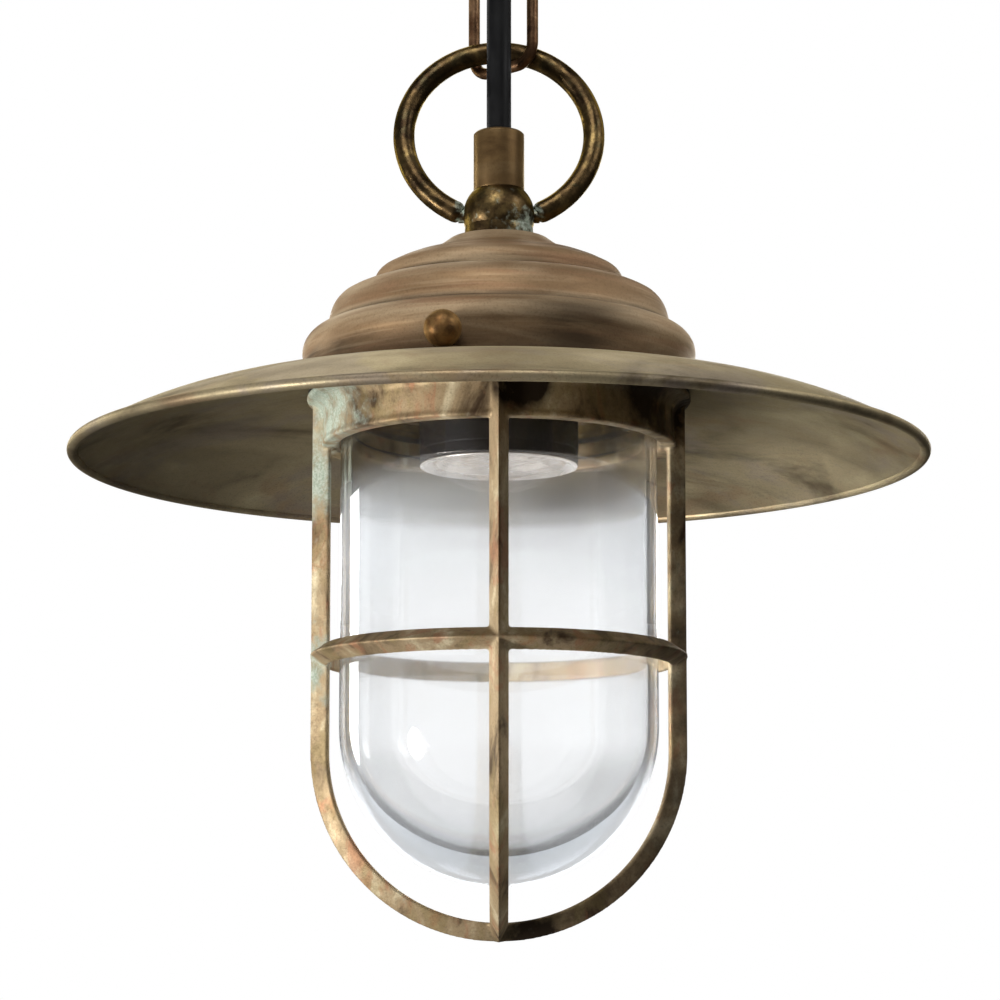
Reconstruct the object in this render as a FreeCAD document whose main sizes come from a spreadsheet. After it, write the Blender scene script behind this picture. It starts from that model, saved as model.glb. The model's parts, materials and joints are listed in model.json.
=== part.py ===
import FreeCAD, Part
import math
import os
import re
import Sketcher

# Ship lantern hung on two chain links and a cable from a ceiling rose.
# Frame: millimetres, +Z up, origin at the centre of the rose's ceiling face, the lantern's front faces -Y.
# Lengths named *_drop are measured downward from the ball on top of the lantern, *_depth from the ceiling.

DRIVING_DIMENSIONS = {
    "Suspension": {
        "pivot_depth": 186.0, "axis_offset_x": -1.2, "axis_offset_y": -11.9, "lean_angle": 13.0,
        "link_turn": 42.0, "running_gap": 0.25,
    },
    "Workshop": {
        "fit_gap": 0.1, "slip_gap": 0.2, "overshoot": 1.0, "drill_inset": 6.0, "drill_length": 10.0,
    },
    "Ring and ball": {
        "ring_radius": 27.25, "ring_wire": 3.05, "ring_centre_rise": 25.7, "ring_end_gap": 10.5,
        "pin_radius": 2.0, "pin_tip": 5.3, "pin_root": 11.5, "pin_hole_radius": 2.2, "pin_hole_floor": 4.9,
        "ball_radius": 10.2, "ball_top": 7.2, "ball_foot_radius": 9.6, "ball_foot_drop": 7.4,
        "ball_waist_drop": 3.4, "bore_radius": 3.8, "nipple_radius": 5.0, "nipple_top_drop": 3.0,
        "nipple_end_drop": 25.0, "sleeve_radius": 7.2, "sleeve_top": 24.1, "sleeve_chamfer": 0.5,
    },
    "Chain and cable": {
        "link_wire": 1.65, "link_length": 50.0, "link_width": 26.0, "link_corner": 5.85,
        "cable_radius": 3.5, "cable_start": 4.0, "cable_span": 42.5, "cable_spans": 4.0,
    },
    "Hook": {
        "hook_wire": 2.5, "hook_bow": 9.0, "hook_turn": 50.0, "hook_tip": 35.0, "hook_shank_top": 3.0,
        "hook_nut_radius": 5.2, "hook_nut_height": 4.0,
    },
    "Rose": {
        "rose_radius": 50.0, "rose_depth": 40.0, "rose_wall": 1.5, "rose_skirt": 10.0, "rose_mouth": 21.0,
        "rose_shoulder": 30.0, "rose_lip": 3.0, "bracket_reach": 46.5, "bracket_width": 16.0,
        "bracket_plate": 2.0, "bracket_tab": 9.0, "boss_radius": 6.5, "boss_depth": 12.0,
        "ceiling_hole_reach": 30.0, "ceiling_hole_radius": 2.3, "screw_head_height": 2.2,
        "rose_screw_radius": 1.5, "rose_screw_head": 3.2, "rose_screw_length": 5.0,
        "rose_screw_depth": 5.5, "grip_radius": 5.6, "grip_depth": 16.0,
        "grip_height": 6.0, "grip_tongue": 5.9, "terminal_width": 26.0, "terminal_length": 14.0,
        "terminal_height": 13.0, "terminal_y": -37.0, "terminal_pitch": 8.0, "rose_wire_radius": 1.0,
        "rose_wire_spread": 2.2, "rose_wire_rise": 7.0, "rose_wire_run": 5.0, "rose_wire_entry": 0.4,
    },
    "Cap": {
        "cap_wall": 1.4, "cap_base_drop": 50.2, "skirt_radius": 55.1, "skirt_height": 7.8,
        "low_shoulder": 6.5, "low_tier_radius": 48.8, "low_tier_height": 16.1,
        "mid_tier_radius": 46.8, "mid_tier_height": 23.7, "mid_shoulder": 17.0,
        "mid_top_radius": 36.6, "mid_top_height": 27.9, "top_tier_radius": 35.2, "top_step_height": 28.6,
        "top_tier_height": 32.4, "top_shoulder": 40.0, "crown_radius": 20.9, "crown_height": 38.3,
        "crown_flare": 47.0, "neck_radius": 14.2, "neck_height": 42.8, "cap_hole_radius": 5.1,
        "nut_radius": 9.0, "nut_height": 3.0, "washer_radius": 8.4, "washer_height": 1.0,
    },
    "Carrier and shade": {
        "carrier_inner": 48.2, "carrier_outer": 53.5, "carrier_height": 8.4, "shade_radius": 120.0,
        "shade_rim_drop": 71.8, "shade_hole": 48.6, "shade_wall": 1.5, "shade_flat_radius": 56.0,
        "shade_break_radius": 86.0, "shade_break_height": 15.6, "shade_curve": 108.0,
        "shade_edge_radius": 117.75, "shade_edge_height": 2.8, "bead_radius": 1.5,
        "shade_screw_reach": 51.0, "shade_screw_radius": 1.25, "shade_screw_head": 2.2,
        "shade_screw_length": 6.0, "shade_tap_depth": 7.0, "gasket_height": 0.8, "gasket_inner": 49.5,
    },
    "Lamp holder": {
        "holder_radius": 22.35, "holder_end_drop": 72.4, "holder_joint_drop": 46.0, "holder_wall": 2.4,
        "holder_neck_radius": 8.5, "holder_neck_drop": 17.5, "holder_shoulder_drop": 25.0,
        "holder_chamfer": 4.0, "funnel_depth": 8.5, "funnel_wall": 1.0, "thread_radius": 13.3,
        "thread_wall": 0.5, "thread_length": 17.0, "core_height": 9.0, "core_clearance": 0.6, "core_chamfer": 4.0,
        "core_port_floor": 3.6, "contact_radius": 4.0, "contact_height": 2.4, "contact_chamfer": 1.0,
        "socket_wire_radius": 0.8, "socket_wire_reach": 1.4, "socket_wire_spread": 8.5,
        "socket_wire_rise": 3.2, "socket_wire_end": 5.0, "earth_reach": 13.5, "earth_radius": 2.8,
        "earth_height": 5.0,
    },
    "Cage": {
        "cage_radius": 52.8, "rib_depth": 5.6, "rib_width": 5.3, "hoop_drop": 125.6, "hoop_height": 6.0,
        "hoop_depth": 5.4, "dome_drop": 152.2, "collar_radius": 49.2, "collar_end_drop": 66.8,
        "collar_bore": 46.6, "neck_outer": 47.8, "neck_top_drop": 42.0, "flange_drop": 52.8,
        "flange_radius": 53.9, "flange_height": 1.7, "flange_edge": 0.3, "lip_bore": 45.0,
        "lip_height": 3.2,
        "flare_height": 3.0,
    },
    "Jar": {
        "jar_radius": 44.4, "jar_wall": 3.3, "jar_dome_drop": 145.2, "jar_floor_drop": 181.2,
        "jar_inner_dome_drop": 147.1, "jar_corner": 30.0, "jar_top_drop": 54.0, "jar_flange_radius": 46.2,
        "jar_flange_height": 4.0, "jar_seat_height": 0.6, "clamp_gasket_height": 1.4,
        "clamp_height": 3.6, "clamp_inner": 44.9, "clamp_outer": 46.4,
    },
    "Thumbscrew": {
        "knob_radius": 5.0, "knob_reach": 60.6, "knob_drop": 45.6, "knob_turn": -104.0,
        "knob_shank": 2.0, "knob_tip_gap": 0.3, "knob_hole": 2.1,
    },
}

doc = FreeCAD.newDocument("ShipLantern")
sheet = doc.addObject("Spreadsheet::Sheet", "Dim")
SUB_PARTS = []
ALIAS = re.compile(r"[a-z][a-z_]+(?![a-z_(])")


def fill_sheet():
    """Writes every driving dimension as a plain number with its alias."""
    row = 1
    for section, values in DRIVING_DIMENSIONS.items():
        sheet.set("A%d" % row, section)
        row += 1
        for alias, number in values.items():
            sheet.set("A%d" % row, alias.replace("_", " "))
            sheet.set("B%d" % row, str(number))
            sheet.setAlias("B%d" % row, alias)
            row += 1
    doc.recompute()


def dim(text):
    """Turns 'cap_wall * 2' into an expression on the sheet, 'Dim.cap_wall * 2'."""
    return ALIAS.sub(lambda word: "Dim." + word.group(0), str(text))


def value(text):
    """The present number of an expression on the sheet."""
    return float(sheet.evalExpression(dim(text)))


def bind(item, **properties):
    """Binds each named property of an object to an expression on the sheet."""
    for name, text in properties.items():
        item.setExpression(name, dim(text))
    return item


def place(item, x="0", y="0", z="0", rotation=None):
    """Gives an object its Placement: a rotation, and a base bound to the sheet."""
    base = FreeCAD.Vector(value(x), value(y), value(z))
    item.Placement = FreeCAD.Placement(base, rotation or FreeCAD.Rotation())
    for axis, text in (("x", x), ("y", y), ("z", z)):
        item.setExpression("Placement.Base." + axis, dim(text))
    return item


def on_lantern(item, drop, rotation=None):
    """Places an object on the lantern's axis, its local zero `drop` below the ball's centre."""
    return place(item, "axis_offset_x", "axis_offset_y", "-pivot_depth - (%s)" % drop, rotation)


def keep(item, label):
    """Registers a finished sub-part: its Label names its file."""
    item.Label = label
    SUB_PARTS.append(item)
    return item


def tilt_to(direction):
    """The rotation that takes local +Z to the given direction."""
    return FreeCAD.Rotation(FreeCAD.Vector(0, 0, 1), FreeCAD.Vector(*direction))


def spin(degrees):
    """A rotation about the vertical."""
    return FreeCAD.Rotation(FreeCAD.Vector(0, 0, 1), degrees)


# ---- sketches -------------------------------------------------------------------------------------

def origin_plane(body, role):
    return [item for item in body.Origin.OriginFeatures if item.Role == role][0]


def new_sketch(body, name, role):
    sketch = body.newObject("Sketcher::SketchObject", name)
    sketch.AttachmentSupport = [(origin_plane(body, role), "")]
    sketch.MapMode = "FlatFace"
    return sketch


def arc_through(start, end, radius, side):
    """An arc of the given radius; side +1 has its centre on the left of the way from start to end."""
    chord = end - start
    middle = start + chord * 0.5
    left = FreeCAD.Vector(-chord.y, chord.x, 0).normalize() * side
    offset = math.sqrt(max(radius ** 2 - (chord.Length / 2) ** 2, 0.0))
    crest = middle + left * (offset - radius)
    return Part.Arc(start, crest, end) if side > 0 else Part.Arc(end, crest, start)


def draw_outline(sketch, outline, closed=True):
    """Draws an outline whose corners and arc radii are all bound to the sheet.

    A corner is (x, y), or (x, y, radius, side) when an arc leads from it to the next corner.
    """
    corners = [FreeCAD.Vector(value(corner[0]), value(corner[1]), 0) for corner in outline]
    count = len(outline) if closed else len(outline) - 1
    ends = []
    for index in range(count):
        start = corners[index]
        end = corners[(index + 1) % len(corners)]
        corner = outline[index]
        if len(corner) == 2:
            curve = Part.LineSegment(start, end)
        else:
            curve = arc_through(start, end, value(corner[2]), corner[3])
        number = sketch.addGeometry(curve, False)
        forward = sketch.Geometry[number].StartPoint.distanceToPoint(start) < 1e-6
        ends.append((number, 1 if forward else 2, 2 if forward else 1))
        if len(corner) == 4:
            bind_datum(sketch, Sketcher.Constraint("Radius", number, value(corner[2])), corner[2])
    for index, (number, first, last) in enumerate(ends):
        pin_corner(sketch, number, first, outline[index])
        if index + 1 < count or closed:
            following = ends[(index + 1) % count]
            sketch.addConstraint(Sketcher.Constraint("Coincident", number, last, following[0], following[1]))
    if not closed:
        pin_corner(sketch, ends[-1][0], ends[-1][2], outline[-1])


def bind_datum(sketch, constraint, text):
    number = sketch.addConstraint(constraint)
    sketch.setExpression("Constraints[%d]" % number, dim(text))


def pin_corner(sketch, number, end, corner):
    """Holds one end of a sketch element at coordinates bound to the sheet."""
    for kind, axis, text in (("DistanceX", -2, corner[0]), ("DistanceY", -1, corner[1])):
        if text == "0":
            sketch.addConstraint(Sketcher.Constraint("PointOnObject", number, end, axis))
        else:
            bind_datum(sketch, Sketcher.Constraint(kind, -1, 1, number, end, value(text)), text)


def turned(name, outline):
    """A body of revolution about local Z from an outline of (radius, height) corners."""
    body = doc.addObject("PartDesign::Body", name)
    sketch = new_sketch(body, name + "_outline", "XZ_Plane")
    draw_outline(sketch, outline)
    feature = body.newObject("PartDesign::Revolution", name + "_turning")
    feature.Profile = sketch
    feature.ReferenceAxis = (sketch, ["V_Axis"])
    feature.Angle = 360.0
    return body


def tube(name, inner, outer, height):
    """A plain ring or, with an inner radius of 0, a disc."""
    return turned(name, [(inner, "0"), (outer, "0"), (outer, height), (inner, height)])


def padded(name, outline, thickness, role="XZ_Plane"):
    """A plate of constant thickness, centred on its sketch plane."""
    body = doc.addObject("PartDesign::Body", name)
    sketch = new_sketch(body, name + "_outline", role)
    draw_outline(sketch, outline)
    pad = body.newObject("PartDesign::Pad", name + "_pad")
    pad.Profile = sketch
    pad.Midplane = True
    bind(pad, Length=thickness)
    return body


def bent_wire(name, spine_outline, closed, section_x, section_y, section_role, radius):
    """A round wire swept along a sketched spine in the XZ plane."""
    body = doc.addObject("PartDesign::Body", name)
    spine = new_sketch(body, name + "_spine", "XZ_Plane")
    draw_outline(spine, spine_outline, closed)
    section = new_sketch(body, name + "_section", section_role)
    centre = FreeCAD.Vector(value(section_x), value(section_y), 0)
    circle = section.addGeometry(Part.Circle(centre, FreeCAD.Vector(0, 0, 1), value(radius)), False)
    bind_datum(section, Sketcher.Constraint("Radius", circle, value(radius)), radius)
    pin_corner(section, circle, 3, (section_x, section_y))
    pipe = body.newObject("PartDesign::AdditivePipe", name + "_sweep")
    pipe.Profile = section
    pipe.Spine = spine
    pipe.Transition = "Transformed"
    return body


def cylinder(name, radius, height, x="0", y="0", z="0", rotation=None):
    item = doc.addObject("Part::Cylinder", name)
    bind(item, Radius=radius, Height=height)
    return place(item, x, y, z, rotation)


def box(name, length, width, height, x="0", y="0", z="0"):
    item = doc.addObject("Part::Box", name)
    bind(item, Length=length, Width=width, Height=height)
    return place(item, x, y, z)


def fused(name, pieces):
    item = doc.addObject("Part::MultiFuse", name)
    item.Shapes = pieces
    return item


def cut(name, base, tools):
    item = doc.addObject("Part::Cut", name)
    item.Base = base
    item.Tool = tools[0] if len(tools) == 1 else fused(name + "_tools", tools)
    return item


def around(count, start=0.0):
    """Evenly spaced azimuths in degrees."""
    return [start + 360.0 * index / count for index in range(count)]


def radial(degrees):
    """The horizontal unit vector at an azimuth from +X."""
    return (math.cos(math.radians(degrees)), math.sin(math.radians(degrees)), 0.0)


def polar(radius, degrees):
    """Expressions for the X and Y of a point at an azimuth on a circle of the sheet."""
    across, along, _ = radial(degrees)
    return "(%s) * (%.9f)" % (radius, across), "(%s) * (%.9f)" % (radius, along)


def group(name, pieces):
    """Several separate identical solids that share one node."""
    item = doc.addObject("Part::Compound", name)
    item.Links = pieces
    return item


# ---- ceiling rose ---------------------------------------------------------------------------------

def ceiling_rose():
    """A spun dome against the ceiling, open below for the chain and the cable."""
    inner_skirt = "rose_radius - rose_wall"
    dome = turned("rose_dome", [
        (inner_skirt, "rose_depth"), ("rose_radius", "rose_depth"),
        ("rose_radius", "rose_depth - rose_skirt", "rose_shoulder", -1),
        ("rose_mouth", "rose_lip"), ("rose_mouth", "0"), ("rose_mouth - rose_wall", "0"),
        ("rose_mouth - rose_wall", "rose_lip + rose_wall", "rose_shoulder", 1),
        (inner_skirt, "rose_depth - rose_skirt"),
    ])
    holes = [
        cylinder("rose_hole_%d" % number, "rose_screw_radius + slip_gap", "drill_length",
                 *polar("rose_radius - drill_inset", angle), "rose_depth - rose_screw_depth",
                 tilt_to(radial(angle)))
        for number, angle in enumerate((0.0, 180.0))
    ]
    rose = cut("rose", dome, holes)
    keep(place(rose, z="-rose_depth"), "ceiling_rose")


def ceiling_bracket():
    """A strap with two turned-down ends, two ceiling holes and a tapped boss for the hook."""
    inner = "bracket_reach - bracket_plate"
    outline = [
        ("-bracket_reach", "-bracket_tab"), ("-(%s)" % inner, "-bracket_tab"),
        ("-(%s)" % inner, "-bracket_plate"), (inner, "-bracket_plate"), (inner, "-bracket_tab"),
        ("bracket_reach", "-bracket_tab"), ("bracket_reach", "0"), ("-bracket_reach", "0"),
    ]
    strap = padded("strap", outline, "bracket_width")
    boss = cylinder("boss", "boss_radius", "boss_depth", z="-boss_depth")
    tools = [cylinder("boss_bore", "hook_wire + fit_gap", "boss_depth - overshoot",
                      z="-boss_depth - overshoot")]
    for number, angle in enumerate((0.0, 180.0)):
        tools.append(cylinder("strap_hole_%d" % number, "ceiling_hole_radius",
                              "bracket_plate + 2 * overshoot", *polar("ceiling_hole_reach", angle),
                              "-bracket_plate - overshoot"))
        tools.append(cylinder("tab_hole_%d" % number, "rose_screw_radius + fit_gap / 2", "drill_length",
                              *polar("bracket_reach - drill_inset", angle), "-rose_screw_depth",
                              tilt_to(radial(angle))))
    keep(cut("bracket", fused("strap_and_boss", [strap, boss]), tools), "ceiling_bracket")


def screw(name, shank, length, head, head_height):
    """A cheese-head screw: shank along local -Z, underside of the head at local zero."""
    return turned(name, [
        ("0", "-(%s)" % length), (shank, "-(%s)" % length), (shank, "0"), (head, "0"),
        (head, head_height), ("0", head_height),
    ])


def rose_fasteners():
    """Two small screws that hold the rose to the turned-down ends of the bracket."""
    rose_screws = []
    for number, angle in enumerate((0.0, 180.0)):
        item = screw("rose_screw_%d" % number, "rose_screw_radius", "rose_screw_length",
                     "rose_screw_head", "screw_head_height")
        rose_screws.append(place(item, *polar("rose_radius", angle), "-rose_screw_depth",
                                 tilt_to(radial(angle))))
    keep(group("rose_screw_pair", rose_screws), "rose_screws")


def ceiling_hook():
    """A hook bent from one wire, its bow straight below its shank."""
    run_in = "hook_bow * cos(hook_turn) / (1 - cos(hook_turn))"
    shank_top = "-hook_shank_top - (%s) - hook_bow" % HOOK_WIRE_Z
    spine = [
        ("0", shank_top),
        ("0", "hook_bow * sin(hook_turn) + %s * sin(hook_turn)" % run_in, run_in, 1),
        ("hook_bow * cos(hook_turn)", "hook_bow * sin(hook_turn)", "hook_bow", -1),
        ("0", "-hook_bow", "hook_bow", -1),
        ("-hook_bow * cos(hook_tip)", "hook_bow * sin(hook_tip)"),
    ]
    body = doc.addObject("PartDesign::Body", "hook")
    path = new_sketch(body, "hook_spine", "XZ_Plane")
    draw_outline(path, spine, False)
    section = new_sketch(body, "hook_section", "XY_Plane")
    section.setExpression("AttachmentOffset.Base.z", dim(shank_top))
    circle = section.addGeometry(Part.Circle(FreeCAD.Vector(), FreeCAD.Vector(0, 0, 1), 1.0), False)
    bind_datum(section, Sketcher.Constraint("Radius", circle, value("hook_wire")), "hook_wire")
    section.addConstraint(Sketcher.Constraint("Coincident", circle, 3, -1, 1))
    pipe = body.newObject("PartDesign::AdditivePipe", "hook_sweep")
    pipe.Profile = section
    pipe.Spine = path
    keep(place(body, z="%s + hook_bow" % HOOK_WIRE_Z, rotation=spin(-value("link_turn"))), "ceiling_hook")
    nut = doc.addObject("Part::Prism", "hook_hexagon")
    nut.Polygon = 6
    bind(nut, Circumradius="hook_nut_radius", Height="hook_nut_height")
    place(nut, z="-boss_depth - hook_nut_height")
    bore = cylinder("hook_nut_bore", "hook_wire + fit_gap", "hook_nut_height + 2 * overshoot",
                    z="-boss_depth - hook_nut_height - overshoot")
    keep(cut("hook_nut_body", nut, [bore]), "hook_nut")


def wiring_in_rose():
    """Cord grip, terminal block and the three cores between them."""
    grip_ring = tube("grip_ring", "cable_radius + fit_gap", "grip_radius", "grip_height")
    place(grip_ring, "axis_offset_x", "axis_offset_y", "-grip_depth - grip_height")
    tongue = box("grip_tongue_plate", "bracket_plate", "grip_tongue",
                 "grip_depth + grip_height - bracket_plate", "axis_offset_x - grip_radius", "axis_offset_y",
                 "-grip_depth - grip_height")
    hollow = cylinder("grip_hollow", "cable_radius + fit_gap", "rose_depth", "axis_offset_x",
                      "axis_offset_y", "-rose_depth")
    keep(cut("grip", fused("grip_solid", [grip_ring, tongue]), [hollow]), "cord_grip")
    block = box("terminal_case", "terminal_width", "terminal_length", "terminal_height",
                "axis_offset_x - terminal_width / 2", "terminal_y - terminal_length / 2",
                "-terminal_height - overshoot")
    holes = []
    for number, shift in enumerate((-1, 0, 1)):
        holes.append(cylinder("terminal_hole_%d" % number, "rose_wire_radius + slip_gap",
                              "terminal_length + 2 * overshoot",
                              "axis_offset_x + %d * terminal_pitch" % shift,
                              "terminal_y + terminal_length / 2 + overshoot", "-rose_wire_rise",
                              tilt_to((0, -1, 0))))
    keep(cut("terminal", block, holes), "terminal_block")


# ---- chain, ring and cable ------------------------------------------------------------------------

RING_TOP = "(ring_centre_rise + ring_radius) * cos(lean_angle)"
LINK_ONE_LOW = "-pivot_depth + %s - ring_wire - link_wire - running_gap" % RING_TOP
LINK_SPAN = "(link_length - 2 * link_wire)"
LINK_TWO_LOW = "%s + %s - 2 * link_wire - running_gap" % (LINK_ONE_LOW, LINK_SPAN)
HOOK_WIRE_Z = "%s + %s - link_wire - hook_wire - running_gap" % (LINK_TWO_LOW, LINK_SPAN)


def chain_link(name, label, low, turn):
    """A welded link: a rounded rectangle of round wire, its plane turned about the vertical."""
    side = "link_width / 2 - link_wire"
    end = "link_length / 2 - link_wire"
    inner_side = "%s - link_corner" % side
    inner_end = "%s - link_corner" % end
    spine = [
        (side, "-(%s)" % inner_end), (side, inner_end, "link_corner", 1),
        (inner_side, end), ("-(%s)" % inner_side, end, "link_corner", 1),
        ("-(%s)" % side, inner_end), ("-(%s)" % side, "-(%s)" % inner_end, "link_corner", 1),
        ("-(%s)" % inner_side, "-(%s)" % end), (inner_side, "-(%s)" % end, "link_corner", 1),
    ]
    link = bent_wire(name, spine, True, side, "0", "XY_Plane", "link_wire")
    keep(place(link, z="%s + %s / 2" % (low, LINK_SPAN), rotation=spin(turn)), label)


def suspension_ring():
    """A ring bent from round bar, open where its two pins enter the sides of the ball."""
    bar = doc.addObject("Part::Torus", "ring_bar")
    bind(bar, Radius1="ring_radius", Radius2="ring_wire")
    place(bar, z="ring_centre_rise", rotation=tilt_to((0, 1, 0)))
    relief = doc.addObject("Part::Sphere", "ring_relief")
    bind(relief, Radius="ring_end_gap")
    pins = []
    for number, angle in enumerate((0.0, 180.0)):
        pins.append(cylinder("ring_pin_%d" % number, "pin_radius", "pin_root - pin_tip",
                             *polar("pin_tip", angle), "0", tilt_to(radial(angle))))
    ring = fused("ring", [cut("ring_arc", bar, [relief])] + pins)
    lean = FreeCAD.Rotation(FreeCAD.Vector(1, 0, 0), -value("lean_angle"))
    keep(on_lantern(ring, "0", lean), "suspension_ring")


def cable():
    """Four straight lengths of the one cable, each crossing one joint of the suspension."""
    for number in range(int(value("cable_spans"))):
        length = cylinder("cable_length_%d" % number, "cable_radius", "cable_span")
        on_lantern(length, "-cable_start - %d * cable_span" % number)
        keep(length, "cable_%d" % (number + 1))


# ---- ball, sleeve and cap -------------------------------------------------------------------------

def ball_and_sleeve():
    """The bored ball that hangs in the ring, the cable sleeve above it and the hollow nipple below."""
    ball = turned("ball", [
        ("bore_radius", "ball_foot_drop - nipple_top_drop"), ("bore_radius", "ball_foot_drop + ball_top"),
        ("sqrt(ball_radius ^ 2 - ball_top ^ 2)", "ball_foot_drop + ball_top", "ball_radius", -1),
        ("sqrt(ball_radius ^ 2 - ball_waist_drop ^ 2)", "ball_foot_drop - ball_waist_drop"),
        ("ball_foot_radius", "0"), ("nipple_radius + fit_gap", "0"),
        ("nipple_radius + fit_gap", "ball_foot_drop - nipple_top_drop"),
    ])
    holes = [
        cylinder("pin_hole_%d" % number, "pin_hole_radius", "drill_length",
                 *polar("pin_hole_floor", angle), "ball_foot_drop", tilt_to(radial(angle)))
        for number, angle in enumerate((0.0, 180.0))
    ]
    keep(on_lantern(cut("bored_ball", ball, holes), "ball_foot_drop"), "ball_boss")
    sleeve = turned("sleeve", [
        ("bore_radius", "0"), ("sleeve_radius", "0"),
        ("sleeve_radius", "sleeve_top - ball_top - sleeve_chamfer"),
        ("sleeve_radius - sleeve_chamfer", "sleeve_top - ball_top"),
        ("bore_radius", "sleeve_top - ball_top"),
    ])
    keep(on_lantern(sleeve, "-ball_top"), "cable_sleeve")
    nipple = tube("nipple", "bore_radius", "nipple_radius", "nipple_end_drop - nipple_top_drop - slip_gap")
    keep(on_lantern(nipple, "nipple_end_drop"), "threaded_nipple")


def shifted(outline, across, up):
    """The same outline moved by two expressions, with the same arcs."""
    moved = []
    for corner in outline:
        moved.append(("%s %s" % (corner[0], across), "%s %s" % (corner[1], up)) + tuple(corner[2:]))
    return moved


def backward(outline):
    """An outline walked the other way: each arc moves to its other end and changes side."""
    result = []
    for index in range(len(outline) - 1, -1, -1):
        before = outline[index - 1] if index > 0 else ()
        arc = (before[2], -before[3]) if len(before) == 4 else ()
        result.append(tuple(outline[index][:2]) + arc)
    return result


def cap():
    """The spun cap: three tiers and a flared crown of one wall thickness, drilled for two thumbscrews."""
    tiers = [
        ("skirt_radius", "skirt_height", "low_shoulder", 1), ("low_tier_radius", "low_tier_height"),
        ("mid_tier_radius", "mid_tier_height", "mid_shoulder", 1), ("mid_top_radius", "mid_top_height"),
        ("top_tier_radius", "top_step_height"), ("top_tier_radius", "top_tier_height", "top_shoulder", 1),
        ("crown_radius", "crown_height", "crown_flare", -1), ("neck_radius", "neck_height"),
    ]
    inside = shifted(tiers, "- cap_wall", "- cap_wall")
    outline = [("skirt_radius - cap_wall", "0"), ("skirt_radius", "0")] + tiers
    outline += [("cap_hole_radius", "neck_height"), ("cap_hole_radius", "neck_height - cap_wall")]
    outline += backward(inside)
    shell = turned("cap_shell", outline)
    holes = [
        cylinder("cap_hole_%d" % number, "knob_hole", "drill_length",
                 *polar("skirt_radius - drill_inset", angle), "cap_base_drop - knob_drop",
                 tilt_to(radial(angle)))
        for number, angle in enumerate(knob_angles())
    ]
    keep(on_lantern(cut("drilled_cap", shell, holes), "cap_base_drop"), "cap")
    under_crown = "cap_base_drop - neck_height + cap_wall"
    washer = tube("washer", "cap_hole_radius", "washer_radius", "washer_height")
    keep(on_lantern(washer, "%s + washer_height" % under_crown), "nipple_washer")
    nut = doc.addObject("Part::Prism", "nipple_hexagon")
    nut.Polygon = 6
    bind(nut, Circumradius="nut_radius", Height="nut_height")
    bore = cylinder("nipple_nut_bore", "nipple_radius", "nut_height + 2 * overshoot", z="-overshoot")
    whole = cut("nipple_nut_body", nut, [bore])
    keep(on_lantern(whole, "%s + washer_height + nut_height" % under_crown), "nipple_nut")


def knob_angles():
    """Azimuths of the two thumbscrews, opposite each other."""
    first = value("knob_turn")
    return (first, first + 180.0)


def carrier():
    """The turned ring brazed inside the cap's skirt, tapped for the shade and the thumbscrews."""
    ring = tube("carrier_blank", "carrier_inner", "carrier_outer", "carrier_height")
    tools = [
        cylinder("carrier_hole_%d" % number, "knob_hole", "drill_length",
                 *polar("carrier_inner - overshoot", angle), "cap_base_drop - knob_drop",
                 tilt_to(radial(angle)))
        for number, angle in enumerate(knob_angles())
    ]
    for number, angle in enumerate(around(3, 30.0)):
        tools.append(cylinder("carrier_tap_%d" % number, "shade_screw_radius + fit_gap",
                              "shade_tap_depth + overshoot", *polar("shade_screw_reach", angle),
                              "-overshoot"))
    keep(on_lantern(cut("drilled_carrier", ring, tools), "cap_base_drop"), "carrier_ring")


# ---- shade ----------------------------------------------------------------------------------------

def shade():
    """The spun shade: a flat seat, a cone, a falling curve and a rolled bead at the rim."""
    seat = "shade_rim_drop - cap_base_drop"
    outline = [
        ("shade_hole", seat), ("shade_flat_radius", seat),
        ("shade_break_radius", "shade_break_height", "shade_curve", -1),
        ("shade_edge_radius", "shade_edge_height", "bead_radius", -1),
        ("shade_radius", "bead_radius", "bead_radius", -1),
        ("shade_radius - bead_radius", "0", "bead_radius", -1),
        ("shade_radius - 2 * bead_radius", "bead_radius", "shade_curve", 1),
        ("shade_break_radius", "shade_break_height - shade_wall"),
        ("shade_flat_radius", "%s - shade_wall" % seat), ("shade_hole", "%s - shade_wall" % seat),
    ]
    dish = turned("shade_dish", outline)
    holes = []
    screws = []
    for number, angle in enumerate(around(3, 30.0)):
        x, y = polar("shade_screw_reach", angle)
        holes.append(cylinder("shade_hole_%d" % number, "shade_screw_head + fit_gap",
                              "shade_wall + 2 * overshoot", x, y, "%s - shade_wall - overshoot" % seat))
        item = screw("shade_screw_%d" % number, "shade_screw_radius", "shade_screw_length",
                     "shade_screw_head", "shade_wall - fit_gap")
        screws.append(place(item, "axis_offset_x + %s" % x, "axis_offset_y + %s" % y,
                            "-pivot_depth - cap_base_drop", tilt_to((0, 0, -1))))
    keep(on_lantern(cut("drilled_shade", dish, holes), "shade_rim_drop"), "shade")
    keep(group("shade_screw_set", screws), "shade_screws")


# ---- lamp holder ----------------------------------------------------------------------------------

SHELL_DROP = "holder_end_drop - funnel_depth - fit_gap"
CORE_DROP = "%s - thread_length - fit_gap" % SHELL_DROP


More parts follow.
